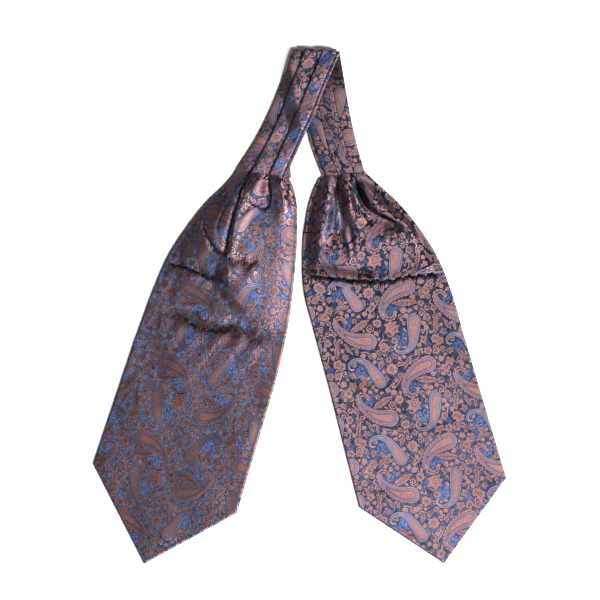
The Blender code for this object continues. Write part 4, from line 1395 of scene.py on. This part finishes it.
def back(half):
    """The back of one blade, which the cravat lies on."""
    rows = []
    columns = np.linspace(0, 1, BACK_COLUMNS)
    (_, q_outer), (_, q_tip), (_, q_inner) = half.point
    for s in np.arange(0, FOLDED_LENGTH, BACK_STEP):
        outer, inner = read(half.outline, s)
        q = outer + BACK_INSET + (inner - outer - 2 * BACK_INSET) * columns
        rows.append(np.column_stack([s + seam_line(half, q) * (1 - smooth(s / 45)), q]))
    top = rows[-1]
    q_end = q_outer + BACK_INSET + (q_inner - q_outer - 2 * BACK_INSET) * columns
    q_end[int(np.argmin(np.abs(q_end - q_tip)))] = q_tip
    end = np.column_stack([bottom_edge(half, q_end) - 2 * BACK_INSET, q_end])
    plain = int((half.point[1][0] - FOLDED_LENGTH) / BACK_STEP)
    for part in np.arange(1, plain + 1) / plain:
        rows.append(top + (end - top) * part)
    s, q = np.moveaxis(np.array(rows), -1, 0)
    cut = np.dstack([BACK_PATTERN[0] - q, BACK_PATTERN[1] + s])
    world = np.dstack([plan(half, s, q), np.full(s.shape, BACK_LIFT)])
    made = sheet_mesh("silk_back_" + half.name, world, cut)
    dress(made, "blade_back_" + half.name, BLADE_CUT)


def band_section(width, first, second, tuck):
    """The neckband's outline across it: q, z and the layer of the cut that shows."""
    one, two, three = first * width, second * width, BAND_INNER_PLEAT * width
    base, slot, gap = BAND_BASE, BAND_SLOT, BAND_SLOT_GAP
    reach = width + tuck
    corner_top = base + (TUCK_TOP - base) * smooth(tuck / TUCK_REACH)
    rows = (
        (0.9, 0, UNDER),
        (width / 2, 0, UNDER),
        (reach - 0.5, 0, UNDER),
        (reach, 0.25 * corner_top, INNER_PLEAT),
        (reach, 0.75 * corner_top, INNER_PLEAT),
        (reach - 0.5, corner_top, INNER_PLEAT),
        (width - 0.6, corner_top + (base - corner_top) * 0.5, INNER_PLEAT),
        (three + 0.2, base, INNER_PLEAT),
        (three - slot, base, INNER_PLEAT),
        (three - slot, base + gap, INNER_PLEAT),
        (three - 0.6, base + gap, INNER_PLEAT),
        (three, base + 1.0, INNER_PLEAT),
        (three - 0.1, BAND_SECOND - 1.6, INNER_PLEAT),
        (three - 1.2, BAND_SECOND - 0.8, INNER_PLEAT),
        ((two + three) / 2, BAND_SECOND - 0.25, INNER_PLEAT),
        (two + 1.0, BAND_SECOND, INNER_PLEAT),
        (two + 0.2, BAND_SECOND - 0.3, INNER_PLEAT),
        (two, BAND_SECOND - 0.8, INNER_PLEAT),
        (two + 0.5, BAND_SECOND - 1.2, INNER_PLEAT),
        (two + slot, BAND_SECOND - 1.3, TOP),
        (two + slot, BAND_SECOND - 1.3 - gap, TOP),
        (two - 0.5, BAND_SECOND - 1.4 - gap, TOP),
        ((one + two) / 2, BAND_FIRST - 0.35, TOP),
        (one + 1.0, BAND_FIRST, TOP),
        (one + 0.2, BAND_FIRST - 0.35, TOP),
        (one, BAND_FIRST - 1.0, TOP),
        (one + 0.5, base + gap + 0.25, TOP),
        (one + slot, base + gap + 0.15, OUTER_PLEAT),
        (one + slot, base + 0.1, OUTER_PLEAT),
        (one - 0.5, base + 0.1, OUTER_PLEAT),
        (one / 2, base + 0.25, OUTER_PLEAT),
        (1.0, base, OUTER_PLEAT),
        (0.3, base - 0.4, OUTER_PLEAT),
        (0, base / 2, OUTER_PLEAT),
        (0.3, 0.4, OUTER_PLEAT),
    )
    return np.array(rows)


def fine_ring(section):
    """The same outline with rounded corners and evenly spread points."""
    count = len(section)
    points, layers = [], []
    for i in range(count):
        a, b, c, d = (section[(i + k) % count, :2] for k in (-1, 0, 1, 2))
        reach = np.linalg.norm(c - b)
        enter = (c - a) / max(np.linalg.norm(c - a), 1e-6) * reach
        leave = (d - b) / max(np.linalg.norm(d - b), 1e-6) * reach
        for t in np.arange(CORNER_STEPS) / CORNER_STEPS:
            points.append(hermite(b, c, enter, leave, t))
            layers.append(section[i, 2])
    points, layers = np.array(points), np.array(layers)
    around = np.vstack([points, points[:1]])
    run = np.concatenate([[0], np.cumsum(np.hypot(*np.diff(around, axis=0).T))])
    at = np.linspace(0, run[-1], RING_POINTS, endpoint=False)
    q = np.interp(at, run, around[:, 0])
    z = np.interp(at, run, around[:, 1])
    nearest = np.minimum(np.searchsorted(run, at, side="right") - 1, len(layers) - 1)
    return np.column_stack([q, z, layers[nearest]])


def rest_height(point):
    """How high the upper leg lies at a point in plan: on the lower leg, and down beside it."""
    shares, _, _, edges, levels = np.array(RIGHT.leg)[::-1].T
    edge = np.interp(point[1], levels, edges)
    share = np.interp(point[1], levels, shares)
    near = smooth((point[0] - edge + 21) / 17)
    past = smooth((share - 0.6) / 0.2) * smooth((edge + 4 - point[0]) / 8)
    return BAND_LIFT * near * (1 - past)


def cut_of_ring(half, ring, width, along):
    """The cut's u and v round a ring of the neckband."""
    q, _, layer = ring.T
    u = np.where(layer == UNDER, UNDER_PATTERN - q, q - width / 2 + HIDDEN_CUT * layer)
    return np.column_stack([u, np.full(len(ring), along)]) + half.pattern


def band_shade(ring, width, pleats, share, lifted):
    """How little light reaches the neckband: beside the pleats' edges, and behind the upper leg."""
    first, second = pleats
    shade = np.zeros(len(ring))
    for edge in (first * width - 0.3, second * width - 0.3, BAND_INNER_PLEAT * width + 0.3):
        shade = np.maximum(shade, PLEAT_SHADE * np.exp(-(((ring[:, 0] - edge) / PLEAT_SHADE_REACH) ** 2)))
    behind = 0.0 if lifted else BEHIND_SHADE * (1 - smooth((share - BEHIND_FROM) / BEHIND_RUN))
    return np.maximum(shade, behind)


def nape_fold(half, length):
    """The rings, cuts and shades of the upper leg where it turns over the nape."""
    outer, inner = np.array(half.leg[0][1:3]), np.array(half.leg[0][3:5])
    pleats = half.pleats[0][1:]
    width = float(np.linalg.norm(inner - outer))
    across = (inner - outer) / width
    away = np.array([-across[1], across[0]])
    ring = fine_ring(band_section(width, *pleats, 0.0))
    radius = ring[:, 1] + BAND_LIFT - FOLD_AXIS
    rings, cuts, shades = [], [], []
    for turn in np.radians(np.linspace(*NAPE_TURN, NAPE_RINGS)):
        flat = outer + np.multiply.outer(ring[:, 0], across)
        flat += np.multiply.outer(radius * math.cos(turn), away)
        rings.append(np.column_stack([flat, FOLD_AXIS + radius * math.sin(turn)]))
        cuts.append(cut_of_ring(half, ring, width, -length - (math.pi / 2 - turn) * BAND_LIFT))
        shades.append(band_shade(ring, width, pleats, 0.0, True))
    return rings, cuts, shades


def leg(half, lifted):
    """One leg of the neckband."""
    first, last = half.leg[0], half.leg[-1]
    length = float(np.linalg.norm(np.array(last[1:3]) - first[1:3]))
    rings, cuts, shades = nape_fold(half, length) if lifted else ([], [], [])
    start = 0.004 if lifted else SEAM_GAP / 130
    for share in np.linspace(start, 1, int(length / BAND_STEP)):
        row = read(half.leg, share)
        pleats = read(half.pleats, share)
        outer, inner = row[:2], row[2:]
        width = float(np.linalg.norm(inner - outer))
        near_end = 1 - (1 - share) * length / TUCK_LENGTH
        tuck = TUCK_REACH * float(smooth(near_end)) if lifted else 0.0
        ring = fine_ring(band_section(width, *pleats, tuck))
        flat = outer + np.multiply.outer(ring[:, 0] / width, inner - outer)
        rest = np.array([rest_height(p) for p in flat]) if lifted else 0.0
        swell = 0.25 * np.sin(share * 19 + ring[:, 0] * 0.12) * smooth(ring[:, 1] - 1.5)
        rings.append(np.column_stack([flat, ring[:, 1] + rest + swell]))
        cuts.append(cut_of_ring(half, ring, width, -(1 - share) * length))
        shades.append(band_shade(ring, width, pleats, share, lifted))
    rings = np.array(rings)
    rings[..., 2] = np.maximum(rings[..., 2], 0)
    made = sheet_mesh("silk_band_" + half.name, rings, np.array(cuts), closed=True, shade=np.array(shades))
    cut = (BAND_GIRTH, length * MM + (NAPE_CUT if lifted else SEAM_CUT))
    dress(made, "neckband_" + half.name, cut)


# Rows of stitches that hold the pleats: the ends of each in plan, x0, y0, x1, y1, and its height
TACKS = (
    ("left", (-64.4, 144.5, -53.3, 140.6, 2.7), (-32.4, 139.5, -16.4, 138.4, 5.4)),
    ("right", (24.5, 137.4, 40.6, 138.7, 5.4), (58.0, 140.5, 69.1, 144.8, 2.7)),
)
STITCH = 2.4
STITCH_ENDS = (0.12, 0.88)  # where a stitch starts and ends, as shares of its place
STITCH_STEPS = 8
STITCH_BOW = 0.25
THREAD_RADIUS = 0.22
THREAD_SIDES = 8
THREAD_DARK = colour("14161f")
THREAD_LIT = colour("2b2f42")


def thread_material():
    """Dark silk sewing thread."""
    nodes = Nodes("sewing_thread")
    place = nodes.add("ShaderNodeTexCoord").outputs["Object"]
    twist = nodes.add("ShaderNodeTexNoise", {"Vector": place, "Scale": 2500.0}).outputs[0]
    tint = nodes.mix(twist, THREAD_DARK, THREAD_LIT)
    bump = nodes.add("ShaderNodeBump", {"Height": twist, "Strength": 0.4, "Distance": 0.0001}).outputs[0]
    shader = nodes.add("ShaderNodeBsdfPrincipled", {"Base Color": tint, "Roughness": 0.45, "Normal": bump})
    nodes.add("ShaderNodeOutputMaterial", {"Surface": shader.outputs[0]})
    return nodes.material


def stitch_points(first, last, side, height):
    """Rings of points along one stitch, which bows up in its middle."""
    points = []
    for t in np.linspace(0, 1, STITCH_STEPS + 1):
        bow = math.sin(math.pi * t)
        radius = THREAD_RADIUS * (0.75 + 0.25 * bow)
        x, y = first + (last - first) * t
        for a in np.arange(THREAD_SIDES) * 2 * math.pi / THREAD_SIDES:
            out = radius * math.cos(a)
            z = height + STITCH_BOW * (bow - 1) + radius * math.sin(a)
            points.append((x + side[0] * out, y + side[1] * out, z))
    return points


def stitch_faces(base):
    """The faces round one stitch and over its ends."""
    rings = base + np.arange((STITCH_STEPS + 1) * THREAD_SIDES).reshape(-1, THREAD_SIDES)
    ahead = np.roll(rings, -1, axis=1)
    round_it = np.stack([rings[:-1], ahead[:-1], ahead[1:], rings[1:]], axis=-1).reshape(-1, 4)
    return [*round_it.tolist(), rings[0][::-1].tolist(), rings[-1].tolist()]


def tacking(name, lines, material):
    """A row of small stitches across the end of the neckband."""
    points, faces = [], []
    for x0, y0, x1, y1, height in lines:
        start, end = np.array([x0, y0]), np.array([x1, y1])
        count = int(np.linalg.norm(end - start) / STITCH)
        ahead = (end - start) / np.linalg.norm(end - start)
        side = np.array([-ahead[1], ahead[0]])
        for n in range(count):
            shift = side * 0.25 * (n % 2 - 0.5)
            first, last = (start + (end - start) * (n + share) / count + shift for share in STITCH_ENDS)
            faces += stitch_faces(len(points))
            points += stitch_points(first, last, side, height)
    mesh = bpy.data.meshes.new(name)
    mesh.from_pydata((np.array(points) * MM).tolist(), [], faces)
    mesh.shade_smooth()
    mesh.materials.append(material)
    made = link(name, mesh)
    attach(made, "root")


for half, seed in ((LEFT, 1.0), (RIGHT, 2.3)):
    front(half, seed)
    back(half)
    leg(half, lifted=half is LEFT)
thread = thread_material()
for side, *lines in TACKS:
    tacking("tacking_" + side, lines, thread)


# Stage, in metres
FLOOR_REACH = 6.0
FLOOR_DROP = 0.0004
FLOOR_WHITE = (0.98, 0.98, 0.98, 1)
WORLD_LIGHT = 0.185


def floor():
    """A plain pale floor."""
    nodes = Nodes("pale_floor")
    shader = nodes.add("ShaderNodeBsdfPrincipled", {"Base Color": FLOOR_WHITE, "Roughness": 0.9})
    nodes.add("ShaderNodeOutputMaterial", {"Surface": shader.outputs[0]})
    corners = [(x * FLOOR_REACH, y * FLOOR_REACH, 0) for x, y in ((-1, -1), (1, -1), (1, 1), (-1, 1))]
    mesh = bpy.data.meshes.new("floor")
    mesh.from_pydata(corners, [], [(0, 1, 2, 3)])
    mesh.materials.append(nodes.material)
    made = link("floor", mesh)
    made.location.z = -FLOOR_DROP


def softbox(name, azimuth, elevation, distance, size, power, tint=(1.0, 1.0, 1.0)):
    """A square soft light that looks at the cravat. Azimuth 0 is towards +Y, and positive towards +X."""
    data = bpy.data.lights.new(name, "AREA")
    data.shape = "SQUARE"
    data.size = size
    data.energy = power
    data.color = tint
    made = link(name, data)
    a, e = math.radians(azimuth), math.radians(elevation)
    toward = np.array([math.sin(a) * math.cos(e), math.cos(a) * math.cos(e), math.sin(e)])
    made.location = toward * distance
    made.rotation_mode = "QUATERNION"
    made.rotation_quaternion = made.location.to_track_quat("Z", "Y")


def world_light():
    """Even light from all round."""
    world = bpy.data.worlds.new("studio")
    world.use_nodes = True
    shade = world.node_tree.nodes["Background"]
    shade.inputs["Color"].default_value = (1.0, 1.0, 1.0, 1)
    shade.inputs["Strength"].default_value = WORLD_LIGHT
    bpy.context.scene.world = world


# The photo's frame: 600 px across at this scale, seen from straight above
PIXEL = 1.08
FRAME_PIXELS = 600
CAMERA_HEIGHT = 2600.0
CAMERA_Y = 5.4
SENSOR = 36.0


def camera():
    """A long lens looking straight down."""
    data = bpy.data.cameras.new("camera")
    data.sensor_width = SENSOR
    data.lens = SENSOR * CAMERA_HEIGHT / (PIXEL * FRAME_PIXELS)
    data.clip_end = 50
    made = link("camera", data)
    made.location = (0, CAMERA_Y * MM, CAMERA_HEIGHT * MM)
    bpy.context.scene.camera = made


floor()
softbox("low_softbox", azimuth=166, elevation=52, distance=5.2, size=1.3, power=290, tint=(0.88, 1.0, 1.0))
softbox("side_softbox", azimuth=106, elevation=44, distance=2.1, size=0.55, power=78)
world_light()
camera()
bpy.context.scene.view_settings.view_transform = "Standard"
